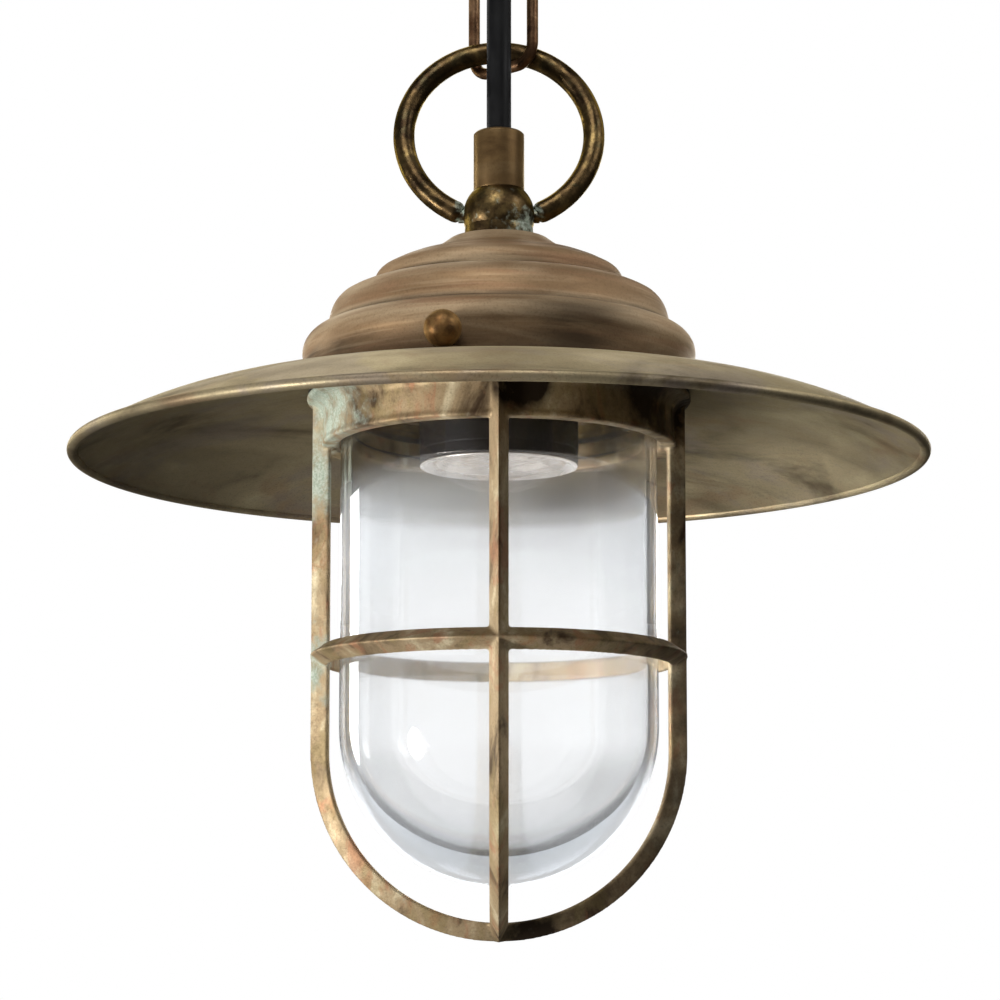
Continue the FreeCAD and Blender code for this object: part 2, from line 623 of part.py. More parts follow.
def lamp_holder():
    """The screw-in lamp holder on the nipple's lower end, with its polished funnel."""
    cap_height = "holder_joint_drop - holder_neck_drop"
    shoulder = "holder_joint_drop - holder_shoulder_drop"
    top = turned("holder_top", [
        ("holder_radius - holder_wall", "0"), ("holder_radius", "0"),
        ("holder_radius", "%s - holder_chamfer" % shoulder), ("holder_radius - holder_chamfer", shoulder),
        ("holder_neck_radius", shoulder), ("holder_neck_radius", cap_height),
        ("nipple_radius + fit_gap / 2", cap_height),
        ("nipple_radius + fit_gap / 2", "%s - holder_wall" % shoulder),
        ("holder_radius - holder_chamfer - holder_wall / 2", "%s - holder_wall" % shoulder),
        ("holder_radius - holder_wall", "%s - holder_chamfer - holder_wall / 2" % shoulder),
    ])
    keep(on_lantern(top, "holder_joint_drop"), "holder_cap")
    length = "holder_end_drop - holder_joint_drop - fit_gap"
    body = tube("holder_tube", "holder_radius - holder_wall", "holder_radius", length)
    keep(on_lantern(body, "holder_end_drop"), "holder_body")
    throat = "thread_radius + fit_gap"
    mouth = "holder_radius - holder_wall - fit_gap"
    funnel = turned("funnel_cone", [
        ("%s + funnel_wall" % throat, "funnel_depth"), (throat, "funnel_depth"),
        ("%s - funnel_wall" % mouth, "0"), (mouth, "0"), (mouth, "funnel_wall"),
    ])
    keep(on_lantern(funnel, "holder_end_drop"), "holder_funnel")
    shell = tube("thread_tube", "thread_radius", "thread_radius + thread_wall", "thread_length")
    keep(on_lantern(shell, SHELL_DROP), "thread_shell")
    core_radius = "holder_radius - holder_wall - core_clearance"
    core = turned("core_blank", [
        ("0", "contact_height + 2 * slip_gap"),
        ("contact_radius + slip_gap", "contact_height + 2 * slip_gap"),
        ("contact_radius + slip_gap", "0"), (core_radius, "0"),
        (core_radius, "core_height - core_chamfer"),
        ("%s - core_chamfer" % core_radius, "core_height"), ("0", "core_height"),
    ])
    ports = [
        cylinder("core_port_%d" % number, "socket_wire_radius + slip_gap", "core_height",
                 "socket_wire_spread * %d" % side, "0", "core_port_floor")
        for number, side in enumerate((-1, 1))
    ]
    keep(on_lantern(cut("core", core, ports), CORE_DROP), "ceramic_core")
    contact = turned("contact_blank", [
        ("0", "0"), ("contact_radius - contact_chamfer", "0"), ("contact_radius", "contact_chamfer"),
        ("contact_radius", "contact_height"), ("0", "contact_height"),
    ])
    keep(on_lantern(contact, "%s - 2 * slip_gap" % CORE_DROP), "centre_contact")


def core_route(side):
    """The corner points of one insulated core, from the cable's end down to the lamp holder."""
    near = value("socket_wire_reach") * side
    far = value("socket_wire_spread") * side
    return [
        (near, 0.0, value("cable_start")), (near, 0.0, -value("nipple_end_drop + overshoot")),
        (far, 0.0, -value("%s - core_height - socket_wire_rise" % CORE_DROP)),
        (far, 0.0, -value("%s - core_height + socket_wire_end" % CORE_DROP)),
    ]


TRIM_SHARE = 0.45


def rounded_path(points):
    """Straight runs joined by arcs that trim TRIM_SHARE of their shorter run; gives wire and radii."""
    corners = [FreeCAD.Vector(*point) for point in points]
    edges = []
    radii = []
    position = corners[0]
    for before, corner, after in zip(corners, corners[1:], corners[2:]):
        incoming = (corner - before).normalize()
        outgoing = (after - corner).normalize()
        turn = incoming.getAngle(outgoing)
        trim = TRIM_SHARE * min(corner.distanceToPoint(before), corner.distanceToPoint(after))
        start = corner - incoming * trim
        end = corner + outgoing * trim
        radius = trim / math.tan(turn / 2)
        inward = (outgoing - incoming).normalize()
        crest = corner + inward * (radius / math.cos(turn / 2) - radius)
        edges.append(Part.LineSegment(position, start).toShape())
        edges.append(Part.Arc(start, crest, end).toShape())
        radii.append(radius)
        position = end
    edges.append(Part.LineSegment(position, corners[-1]).toShape())
    return Part.Wire(edges), radii


def insulated_core(points, radius):
    """A round tube along a rounded path, its volume compared with its section times its length."""
    path, radii = rounded_path(points)
    start = path.Edges[0]
    direction = start.tangentAt(start.FirstParameter)
    section = Part.Wire(Part.makeCircle(radius, FreeCAD.Vector(*points[0]), direction))
    solid = path.makePipeShell([section], True, False)
    expected = math.pi * radius ** 2 * path.Length
    print("core: radii %s, volume ratio %.4f" % ([round(item, 1) for item in radii], solid.Volume / expected))
    return solid


def socket_cores():
    """Two insulated cores inside the nipple and the lamp holder."""
    solids = [insulated_core(core_route(side), value("socket_wire_radius")) for side in (-1, 1)]
    item = doc.addObject("Part::Feature", "socket_core_pair")
    item.Shape = Part.Compound(solids)
    on_lantern(item, "0")
    keep(item, "socket_cores")


def rose_cores():
    """Three insulated cores from the top of the cable to the terminal block."""
    solids = []
    top = value("-pivot_depth + cable_start + cable_spans * cable_span + fit_gap")
    rise = -value("rose_wire_rise")
    reach = value("terminal_y + terminal_length / 2 - axis_offset_y + rose_wire_entry")
    run = value("rose_wire_run")
    for shift in (-1, 0, 1):
        near = shift * value("rose_wire_spread")
        far = shift * value("terminal_pitch")
        points = [(near, 0.0, top), (near, 0.0, rise), (far, reach + run, rise), (far, reach - run, rise)]
        if shift == 0:
            points = points[:2] + points[3:]
        solids.append(insulated_core(points, value("rose_wire_radius")))
    item = doc.addObject("Part::Feature", "rose_core_set")
    item.Shape = Part.Compound(solids)
    place(item, "axis_offset_x", "axis_offset_y", "0")
    keep(item, "rose_cores")


def earth_stud():
    """The earth screw on the lamp holder's flat shoulder."""
    stud = tube("earth_blank", "0", "earth_radius", "earth_height")
    place(stud, "axis_offset_x + earth_reach", "axis_offset_y", "-pivot_depth - holder_shoulder_drop")
    keep(stud, "earth_screw")


# ---- cage and jar ---------------------------------------------------------------------------------

def cage_collar():
    """The collar: a neck that enters the carrier ring, a flared flange and a lip for the jar."""
    flange = "(collar_end_drop - flange_drop)"
    neck = "collar_end_drop - neck_top_drop"
    outline = [
        ("lip_bore", "0"), ("collar_radius", "0"), ("collar_radius", "%s - flare_height" % flange),
        ("flange_radius", "%s - flange_height + flange_edge" % flange), ("flange_radius", flange),
        ("neck_outer", flange), ("neck_outer", neck), ("collar_bore", neck),
        ("collar_bore", "lip_height"), ("lip_bore", "lip_height"),
    ]
    keep(on_lantern(turned("collar", outline), "collar_end_drop"), "cage_collar")
    gasket = tube("shade_seal", "gasket_inner", "flange_radius - flange_edge", "gasket_height")
    keep(on_lantern(gasket, "flange_drop - fit_gap"), "shade_gasket")


def cage_ribs():
    """Four ribs from the collar down and round to the bottom, front and back ones meeting on the axis."""
    inner = "cage_radius - rib_depth"
    rib_top = "dome_drop - flange_drop - flare_height"
    for label, angle, tip in (
        ("front", -90.0, "0"), ("right", 0.0, "rib_width / 2"),
        ("back", 90.0, "0"), ("left", 180.0, "rib_width / 2"),
    ):
        low_outer = "-sqrt(cage_radius ^ 2 - (%s) ^ 2)" % tip
        low_inner = "-sqrt((%s) ^ 2 - (%s) ^ 2)" % (inner, tip)
        outline = [
            (tip, low_outer, "cage_radius", 1), ("cage_radius", "0"), ("cage_radius", rib_top),
            ("collar_radius", rib_top), ("collar_radius", "dome_drop - collar_end_drop"),
            (inner, "dome_drop - collar_end_drop"), (inner, "0", inner, -1), (tip, low_inner),
        ]
        rib = padded("rib_" + label, outline, "rib_width")
        keep(on_lantern(rib, "dome_drop", spin(angle)), "cage_rib_" + label)


def cage_hoop():
    """The hoop round the jar, in four arcs between the ribs."""
    ring = tube("hoop_ring", "cage_radius - hoop_depth", "cage_radius", "hoop_height")
    bars = []
    for name, length, width in (("x", "shade_radius", "rib_width"), ("y", "rib_width", "shade_radius")):
        bars.append(box("hoop_bar_" + name, length, width, "hoop_height + 2 * overshoot",
                        "-%s / 2" % length, "-%s / 2" % width, "-overshoot"))
    keep(on_lantern(cut("hoop_arcs", ring, bars), "hoop_drop + hoop_height / 2"), "cage_hoop")


def glass_jar():
    """The jar: straight wall, round outer dome, flatter inner dome and a flange held in the collar."""
    side = "jar_radius - jar_wall"
    floor = "(jar_floor_drop - jar_inner_dome_drop)"
    inset = "(%s - jar_corner)" % side
    gap = "(%s - jar_corner)" % floor
    rise = "((%s ^ 2 - %s ^ 2) / (2 * %s))" % (inset, gap, gap)
    crown = "(%s + %s)" % (floor, rise)
    reach = "(%s - jar_corner)" % crown
    centre = "(jar_dome_drop - jar_inner_dome_drop)"
    flange_low = "jar_dome_drop - collar_end_drop + lip_height + jar_seat_height"
    outline = [
        ("0", "-jar_radius", "jar_radius", 1), ("jar_radius", "0"), ("jar_radius", flange_low),
        ("jar_flange_radius", flange_low), ("jar_flange_radius", "%s + jar_flange_height" % flange_low),
        ("jar_radius", "%s + jar_flange_height" % flange_low),
        ("jar_radius", "jar_dome_drop - jar_top_drop"), (side, "jar_dome_drop - jar_top_drop"),
        (side, centre, "jar_corner", -1),
        ("%s * %s / %s" % (inset, crown, reach),
         "%s + %s - %s * %s / %s" % (centre, rise, rise, crown, reach), crown, -1),
        ("0", "%s - %s" % (centre, floor)),
    ]
    keep(on_lantern(turned("jar", outline), "jar_dome_drop"), "glass_jar")
    seat = tube("jar_seat", "lip_bore + fit_gap", "jar_flange_radius", "jar_seat_height")
    keep(on_lantern(seat, "collar_end_drop - lip_height"), "jar_seat_gasket")
    flange_top = "collar_end_drop - lip_height - jar_seat_height - jar_flange_height"
    packing = tube("jar_packing", "clamp_inner", "clamp_outer", "clamp_gasket_height")
    keep(on_lantern(packing, flange_top), "jar_clamp_gasket")
    ring = tube("jar_clamp", "clamp_inner", "clamp_outer", "clamp_height")
    keep(on_lantern(ring, "%s - clamp_gasket_height" % flange_top), "jar_clamp_ring")


def thumbscrews():
    """Two ball-headed screws whose tips stop just short of the collar's neck."""
    tip = "neck_outer + knob_tip_gap"
    waist = "sqrt(knob_radius ^ 2 - knob_shank ^ 2)"
    for label, angle in zip(("thumbscrew_front", "thumbscrew_back"), knob_angles()):
        outline = [
            ("0", "%s - knob_reach" % tip), ("knob_shank", "%s - knob_reach" % tip),
            ("knob_shank", "-%s" % waist, "knob_radius", 1), ("knob_radius", "0", "knob_radius", 1),
            ("0", "knob_radius"),
        ]
        knob = turned(label + "_body", outline)
        x, y = polar("knob_reach", angle)
        place(knob, "axis_offset_x + %s" % x, "axis_offset_y + %s" % y, "-pivot_depth - knob_drop",
              tilt_to(radial(angle)))
        keep(knob, label)


# ---- assembly -------------------------------------------------------------------------------------

def build():
    fill_sheet()
    ceiling_rose()
    ceiling_bracket()
    rose_fasteners()
    ceiling_hook()
    wiring_in_rose()
    rose_cores()
    chain_link("upper_link", "chain_link_2", LINK_TWO_LOW, 90.0 - value("link_turn"))
    chain_link("lower_link", "chain_link_1", LINK_ONE_LOW, -value("link_turn"))
    suspension_ring()
    cable()
    ball_and_sleeve()
    cap()
    carrier()
    shade()
    lamp_holder()
    socket_cores()
    earth_stud()
    cage_collar()
    cage_ribs()
    cage_hoop()
    glass_jar()
    thumbscrews()
    doc.recompute()


def check():
    """Stops before anything is written if an object failed or a sub-part has no valid solid."""
    faults = []
    for item in doc.Objects:
        if "Invalid" in item.State or "Error" in item.State:
            faults.append("%s: %s" % (item.Name, item.State))
    for item in SUB_PARTS:
        shape = item.Shape
        if shape.isNull() or not shape.isValid() or not shape.Solids:
            faults.append("%s: no valid solid" % item.Label)
    if faults:
        raise RuntimeError("; ".join(faults))


def report_cable():
    """The cable is straight, so it has no bend radius; its volume is section times length."""
    expected = math.pi * value("cable_radius") ** 2 * value("cable_span")
    for item in SUB_PARTS:
        if item.Label.startswith("cable_") and item.Label != "cable_sleeve":
            print("%s: straight, volume ratio %.4f" % (item.Label, item.Shape.Volume / expected))


def export():
    os.makedirs("parts", exist_ok=True)
    for item in SUB_PARTS:
        item.Shape.exportStep("parts/%s.step" % item.Label)
    print("%d sub-parts written" % len(SUB_PARTS))


build()
check()
report_cable()
export()
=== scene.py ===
"""Ship lantern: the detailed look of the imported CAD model. Metres, +Z up, the lantern's front faces -Y."""

import json
import math

import bpy
from mathutils import Matrix, Vector


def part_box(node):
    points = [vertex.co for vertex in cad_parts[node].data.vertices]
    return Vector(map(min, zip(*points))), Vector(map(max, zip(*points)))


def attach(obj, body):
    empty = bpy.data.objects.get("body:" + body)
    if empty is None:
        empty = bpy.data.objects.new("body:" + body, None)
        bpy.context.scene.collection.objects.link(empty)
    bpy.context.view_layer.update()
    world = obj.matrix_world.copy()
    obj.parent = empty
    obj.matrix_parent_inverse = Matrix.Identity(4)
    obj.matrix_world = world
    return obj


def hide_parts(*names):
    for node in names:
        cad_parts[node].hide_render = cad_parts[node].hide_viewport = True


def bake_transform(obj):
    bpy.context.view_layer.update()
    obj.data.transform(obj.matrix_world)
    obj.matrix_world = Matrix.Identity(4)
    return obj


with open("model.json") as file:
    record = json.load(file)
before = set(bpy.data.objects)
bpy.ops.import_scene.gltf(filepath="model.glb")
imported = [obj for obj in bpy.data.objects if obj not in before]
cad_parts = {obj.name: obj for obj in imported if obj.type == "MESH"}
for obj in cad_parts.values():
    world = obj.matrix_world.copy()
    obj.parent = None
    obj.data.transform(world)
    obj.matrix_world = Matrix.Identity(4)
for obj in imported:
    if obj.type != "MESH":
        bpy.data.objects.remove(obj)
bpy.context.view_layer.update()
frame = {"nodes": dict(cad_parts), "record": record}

MM = 0.001
shade_low, shade_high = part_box("shade")
AXIS_X = (shade_low.x + shade_high.x) / 2
AXIS_Y = (shade_low.y + shade_high.y) / 2
BALL_LIFT = 7.4
BALL_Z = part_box("ball_boss")[0].z + BALL_LIFT * MM

# Heights on the lantern's axis, as millimetres below the ball's centre.
SLEEVE_BASE = -7.2
THUMBSCREWS = 45.6
HOLDER_TOP = 46.0
CAP_BASE = 50.2
COLLAR_BASE = 66.8
SHADE_RIM = 71.8
HOLDER_MOUTH = 72.4
HOOP = 125.6
JAR_BEND = 145.2
RIB_BEND = 152.2


def on_axis(drop):
    """A point of the lantern's axis, `drop` millimetres below the ball's centre."""
    return Vector((AXIS_X, AXIS_Y, BALL_Z - drop * MM))


def beside_axis(drop, x, y):
    """A point `x` and `y` millimetres beside the lantern's axis, as numbers."""
    return tuple(on_axis(drop) + Vector((x, y, 0)) * MM)


def turned_axis(degrees):
    """A horizontal unit vector at an azimuth from +X."""
    return Vector((math.cos(math.radians(degrees)), math.sin(math.radians(degrees)), 0.0))


# ---- camera ----------------------------------------------------------------------------------------

def add_camera():
    """A low camera looking slightly up, on the lantern's front."""
    data = bpy.data.cameras.new("camera")
    data.sensor_width = 36.0
    data.lens = 98.265
    data.shift_y = 0.14
    data.clip_start = 0.01
    data.clip_end = 50.0
    upward = 6.153
    camera = bpy.data.objects.new("camera", data)
    camera.location = (AXIS_X + 0.3 * MM, -0.76898, -0.38855)
    camera.rotation_euler = (math.radians(90.0 + upward), 0.0, 0.0)
    bpy.context.scene.collection.objects.link(camera)
    bpy.context.scene.camera = camera


# ---- mesh helpers ----------------------------------------------------------------------------------

def new_piece(name, verts, faces, sharp=40.0):
    """A smooth-shaded mesh object whose edges above `sharp` degrees stay crisp."""
    mesh = bpy.data.meshes.new(name)
    mesh.from_pydata([tuple(v) for v in verts], [], faces)
    mesh.validate()
    mesh.polygons.foreach_set("use_smooth", [True] * len(mesh.polygons))
    mesh.set_sharp_from_angle(angle=math.radians(sharp))
    piece = bpy.data.objects.new(name, mesh)
    bpy.context.scene.collection.objects.link(piece)
    return piece


def outline(corners, closed=True, step=5.0):
    """Points of an outline. A corner is (x, y), or (x, y, radius, side) where an arc leads to the next
    corner; side +1 puts the arc's centre on the left of the way."""
    points = []
    count = len(corners) if closed else len(corners) - 1
    for index in range(count):
        corner = corners[index]
        start = Vector(corner[:2])
        end = Vector(corners[(index + 1) % len(corners)][:2])
        points.append(start)
        if len(corner) == 4:
            points.extend(arc_points(start, end, corner[2], corner[3], step))
    if not closed:
        points.append(Vector(corners[-1][:2]))
    return points


def arc_points(start, end, radius, side, step):
    """Points strictly between start and end on an arc, one every `step` degrees or closer."""
    chord = end - start
    left = Vector((-chord.y, chord.x)).normalized() * side
    offset = math.sqrt(max(radius ** 2 - (chord.length / 2) ** 2, 0.0))
    centre = (start + end) / 2 + left * offset
    first = start - centre
    span = 2 * math.asin(min(1.0, chord.length / (2 * radius))) * side
    count = max(3, math.ceil(math.degrees(abs(span)) / step))
    return [centre + Matrix.Rotation(span * number / count, 2) @ first for number in range(1, count)]


def softened(points, radius, closed=True):
    """Rounds every corner of an outline that turns by more than a few degrees."""
    least_turn = math.radians(18)
    steps = 4
    result = []
    for index, point in enumerate(points):
        before = points[index - 1]
        after = points[(index + 1) % len(points)]
        incoming = point - before
        outgoing = after - point
        turn = incoming.angle(outgoing, 0.0)
        inside = closed or 0 < index < len(points) - 1
        if not inside or turn < least_turn or point.x < 1e-6:
            result.append(point)
            continue
        trim = min(radius * math.tan(turn / 2), 0.4 * incoming.length, 0.4 * outgoing.length)
        start = point - incoming.normalized() * trim
        end = point + outgoing.normalized() * trim
        for number in range(steps + 1):
            share = number / steps
            result.append(start * (1 - share) ** 2 + point * 2 * share * (1 - share) + end * share ** 2)
    return result


def lathe(name, corners, base, soft=0.3, segments=160, step=5.0, sharp=40.0):
    """A closed body of revolution about the vertical through `base`; corners are (radius, height) in mm."""
    profile = softened(outline(corners, True, step), soft)
    verts = []
    rows = []
    for point in profile:
        if point.x < 1e-6:
            rows.append([len(verts)] * segments)
            verts.append(base + Vector((0, 0, point.y * MM)))
            continue
        rows.append(list(range(len(verts), len(verts) + segments)))
        for number in range(segments):
            angle = 2 * math.pi * number / segments
            across = Vector((math.cos(angle), math.sin(angle), 0)) * point.x * MM
            verts.append(base + across + Vector((0, 0, point.y * MM)))
    faces = []
    for row, following in zip(rows, rows[1:] + rows[:1]):
        for number in range(segments):
            turn = (number + 1) % segments
            face = [row[number], row[turn], following[turn], following[number]]
            face = [v for place, v in enumerate(face) if v != face[place - 1]]
            if len(set(face)) >= 3:
                faces.append(face)
    return new_piece(name, verts, faces, sharp)


def sweep(name, path, radius, closed=False, sides=32):
    """A round bar along a path of points; `radius` is a number, or one for each point, in mm."""
    path = [Vector(point) for point in path]
    count = len(path)
    radii = radius if isinstance(radius, list) else [radius] * count
    verts = []
    normal = None
    for index, point in enumerate(path):
        before = path[index - 1] if closed or index > 0 else path[0]
        after = path[(index + 1) % count] if closed or index < count - 1 else path[-1]
        tangent = (after - before).normalized()
        if normal is None:
            normal = tangent.orthogonal().normalized()
        normal = (normal - tangent * normal.dot(tangent)).normalized()
        side = tangent.cross(normal)
        for number in range(sides):
            angle = 2 * math.pi * number / sides
            offset = normal * math.cos(angle) + side * math.sin(angle)
            verts.append(point + offset * radii[index] * MM)
    faces = []
    for index in range(count if closed else count - 1):
        here = index * sides
        there = ((index + 1) % count) * sides
        for number in range(sides):
            turn = (number + 1) % sides
            faces.append([here + number, here + turn, there + turn, there + number])
    if not closed:
        faces.append(list(range(sides))[::-1])
        faces.append(list(range((count - 1) * sides, count * sides)))
    return new_piece(name, verts, faces)


def apply_modifiers(piece):
    """Replaces a piece's mesh by its modified one."""
    graph = bpy.context.evaluated_depsgraph_get()
    mesh = bpy.data.meshes.new_from_object(piece.evaluated_get(graph))
    piece.modifiers.clear()
    piece.data = mesh


def finish_piece(piece, body, slot, material, *nodes):
    """Rides a piece on its body, gives it its material, and hides the nodes it stands for; the slot is not
    used.
    """
    piece.data.materials.clear()
    piece.data.materials.append(material)
    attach(piece, body)
    if nodes:
        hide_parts(*nodes)


def joined(name, parts):
    """Several closed meshes as one object."""
    with bpy.context.temp_override(active_object=parts[0], selected_editable_objects=parts):
        bpy.ops.object.join()
    parts[0].name = name
    parts[0].data.name = name
    return parts[0]


# ---- materials -------------------------------------------------------------------------------------

def tint(code):
    """A linear colour from a hexadecimal sRGB one."""
    parts = [int(code[place:place + 2], 16) / 255 for place in (0, 2, 4)]
    return [c / 12.92 if c <= 0.04045 else ((c + 0.055) / 1.055) ** 2.4 for c in parts] + [1.0]


# Dark brown for painted shade and shadow, and for the shade's wiping marks.
SHADOW_AND_MARK_BROWN = "281f18"
VERDIGRIS = ("93a797", "c6d1c4")
BRASS_GLOSS = "d8c9a4"


class Graph:
    """A material and short ways to add nodes to it."""

    def __init__(self, name):
        self.material = bpy.data.materials.new(name)
        self.material.use_nodes = True
        self.tree = self.material.node_tree
        self.shader = self.tree.nodes["Principled BSDF"]
        self.place = self.tree.nodes.new("ShaderNodeTexCoord").outputs["Object"]

    def put(self, socket, source):
        """Links a socket to another one, or sets it to a number or to a colour's code."""
        if isinstance(source, bpy.types.NodeSocket):
            self.tree.links.new(source, socket)
        elif isinstance(source, str):
            socket.default_value = tint(source)
        else:
            socket.default_value = source

    def set(self, **values):
        """Sets or links sockets of the shader by their names, with _ for a space."""
        for name, source in values.items():
            self.put(self.shader.inputs[name.replace("_", " ")], source)

    def stretched(self, x, y, z):
        """The surface point with its coordinates scaled."""
        node = self.tree.nodes.new("ShaderNodeMapping")
        self.put(node.inputs["Vector"], self.place)
        node.inputs["Scale"].default_value = (x, y, z)
        return node.outputs["Vector"]

    def noise(self, scale, detail=4.0, rough=0.55, place=None, distortion=0.0):
        """Cloudy noise around 0.5."""
        node = self.tree.nodes.new("ShaderNodeTexNoise")
        self.put(node.inputs["Vector"], place or self.place)
        node.inputs["Scale"].default_value = scale
        node.inputs["Detail"].default_value = detail
        node.inputs["Roughness"].default_value = rough
        node.inputs["Distortion"].default_value = distortion
        return node.outputs["Fac"]

    def limits(self, value, low, high, new_low=0.0, new_high=1.0):
        """A value's range mapped to another one, smoothly and clamped."""
        node = self.tree.nodes.new("ShaderNodeMapRange")
        node.interpolation_type = "SMOOTHSTEP"
        for name, number in (("Value", value), ("From Min", low), ("From Max", high),
                             ("To Min", new_low), ("To Max", new_high)):
            self.put(node.inputs[name], number)
        return node.outputs["Result"]

    def math(self, operation, first, second):
        """One sum, product or other operation on two values."""
        node = self.tree.nodes.new("ShaderNodeMath")
        node.operation = operation
        self.put(node.inputs[0], first)
        self.put(node.inputs[1], second)
        return node.outputs[0]

    def mix(self, factor, first, second):
        """The first colour where the factor is 0, the second where it is 1."""
        node = self.tree.nodes.new("ShaderNodeMix")
        node.data_type = "RGBA"
        self.put(node.inputs[0], factor)
        self.put(node.inputs[6], first)
        self.put(node.inputs[7], second)
        return node.outputs[2]

    def axis(self, name):
        """X, Y or Z of the surface point, in metres."""
        node = self.tree.nodes.new("ShaderNodeSeparateXYZ")
        self.put(node.inputs[0], self.place)
        return node.outputs[name]

    def bump(self, height, strength, distance, below=None):
        """A normal roughened by a height, on top of another normal if one is given."""
        node = self.tree.nodes.new("ShaderNodeBump")
        node.inputs["Strength"].default_value = strength
        node.inputs["Distance"].default_value = distance
        self.put(node.inputs["Height"], height)
        if below is not None:
            self.put(node.inputs["Normal"], below)
        return node.outputs["Normal"]

    def facing(self, name):
        """X, Y or Z of the surface's own normal."""
        node = self.tree.nodes.new("ShaderNodeSeparateXYZ")
        self.put(node.inputs[0], self.place.node.outputs["Normal"])
        return node.outputs[name]


def patina(name, dark, middle, light, rough=(0.4, 0.6), metallic=0.85, tone=45.0, stretch=(1, 1, 1),
           grain=0.00012, grain_scale=1500.0, contrast=0.16, accent=None, second=None, green=None,
           streaks=0.0, shadow=None):
    """Aged brass: broad tones, up to two accent colours and fine grain, with brushed streaks, painted shade
    and shadow (on the shade also wiping marks) and verdigris where they are asked for."""
    graph = Graph(name)
    flow = graph.stretched(*stretch)
    broad = graph.noise(tone, 5.0, 0.6, flow, 0.6)
    colour = graph.mix(graph.limits(broad, 0.5 - contrast, 0.5), dark, middle)
    colour = graph.mix(graph.limits(broad, 0.5, 0.5 + contrast), colour, light)
    if accent:
        patch = graph.noise(tone * 1.7, 4.0, 0.6, flow, 0.9)
        colour = graph.mix(graph.limits(patch, 0.52, 0.68, 0.0, accent[1]), colour, accent[0])
    if second:
        mirrored = graph.stretched(-stretch[0], stretch[1], -stretch[2])
        patch = graph.noise(tone * 1.3, 5.0, 0.65, mirrored, 0.5)
        colour = graph.mix(graph.limits(patch, 0.5, 0.62, 0.0, second[1]), colour, second[0])
    fine = graph.noise(grain_scale, 3.0, 0.7)
    colour = graph.mix(graph.limits(fine, 0.45, 0.75, 0.0, 0.35), colour, dark)
    roughness = graph.limits(graph.noise(tone * 3, 4.0, 0.6, flow), 0.35, 0.7, rough[0], rough[1])
    height = graph.noise(grain_scale, 4.0, 0.65)
    if streaks:
        brushed = graph.noise(260.0, 3.0, 0.6, graph.stretched(0.12, 0.12, 3.0))
        colour = graph.mix(graph.limits(brushed, 0.5, 0.72, 0.0, streaks), colour, light)
    # Painted shade and shadow in a dark brown; on the shade this also holds its wiping marks.
    if shadow:
        colour = graph.mix(shadow(graph), colour, SHADOW_AND_MARK_BROWN)
    metal = metallic
    if green:
        mask = green(graph)
        verdigris = graph.mix(graph.limits(fine, 0.35, 0.65), *VERDIGRIS)
        colour = graph.mix(graph.math("MULTIPLY", mask, 0.8), colour, verdigris)
        roughness = graph.limits(mask, 0.0, 1.0, roughness, 0.9)
        metal = graph.limits(mask, 0.0, 1.0, metallic, 0.0)
    normal = graph.bump(height, 0.35, grain)
    normal = graph.bump(graph.noise(tone * 2.2, 3.0, 0.5), 0.25, 0.0012, normal)
    graph.set(Base_Color=colour, Roughness=roughness, Metallic=metal, Normal=normal,
              Specular_IOR_Level=0.25, Specular_Tint=BRASS_GLOSS)
    return graph.material


def near(graph, centre, reach):
    """1 at a point, 0 from `reach` metres away."""
    node = graph.tree.nodes.new("ShaderNodeVectorMath")
    node.operation = "DISTANCE"
    graph.put(node.inputs[0], graph.place)
    node.inputs[1].default_value = centre
    return graph.limits(node.outputs["Value"], 0.0, reach, 1.0, 0.0)


def speckled(graph, region, scale, low, high):
    """A region broken up by noise: more of it is covered where the region is strong."""
    spots = graph.noise(scale, 5.0, 0.65)
    return graph.limits(graph.math("ADD", graph.math("MULTIPLY", region, 0.45), spots), low, high)


def ball_green(graph):
    """Verdigris low on the ball's right side and at the ring's ends, and a thin film over the ball."""
    low_side = near(graph, beside_axis(7.0, 6.0, -4.0), 0.016)
    ring_ends = graph.math("MAXIMUM", near(graph, beside_axis(-1.0, 10.5, 0.0), 0.006),
                           near(graph, beside_axis(-1.0, -10.5, 0.0), 0.006))
    film = graph.limits(near(graph, (AXIS_X, AXIS_Y, BALL_Z), 0.014), 0.0, 0.4, 0.0, 0.6)
    region = graph.math("MAXIMUM", graph.math("MAXIMUM", low_side, ring_ends), film)
    return speckled(graph, region, 420.0, 0.68, 1.02)


def cage_green(graph):
    """Verdigris on the collar's left flare and the top of the left rib, and thin traces on the hoop."""
    flare = near(graph, beside_axis(54.0, -50.0, -16.0), 0.040)
    rib = near(graph, beside_axis(76.0, -53.0, 0.0), 0.022)
    joint = graph.math("MULTIPLY", near(graph, beside_axis(128.0, -52.0, 0.0), 0.020), 0.7)
    region = graph.math("MAXIMUM", graph.math("MAXIMUM", flare, rib), joint)
    return speckled(graph, region, 160.0, 0.62, 0.98)


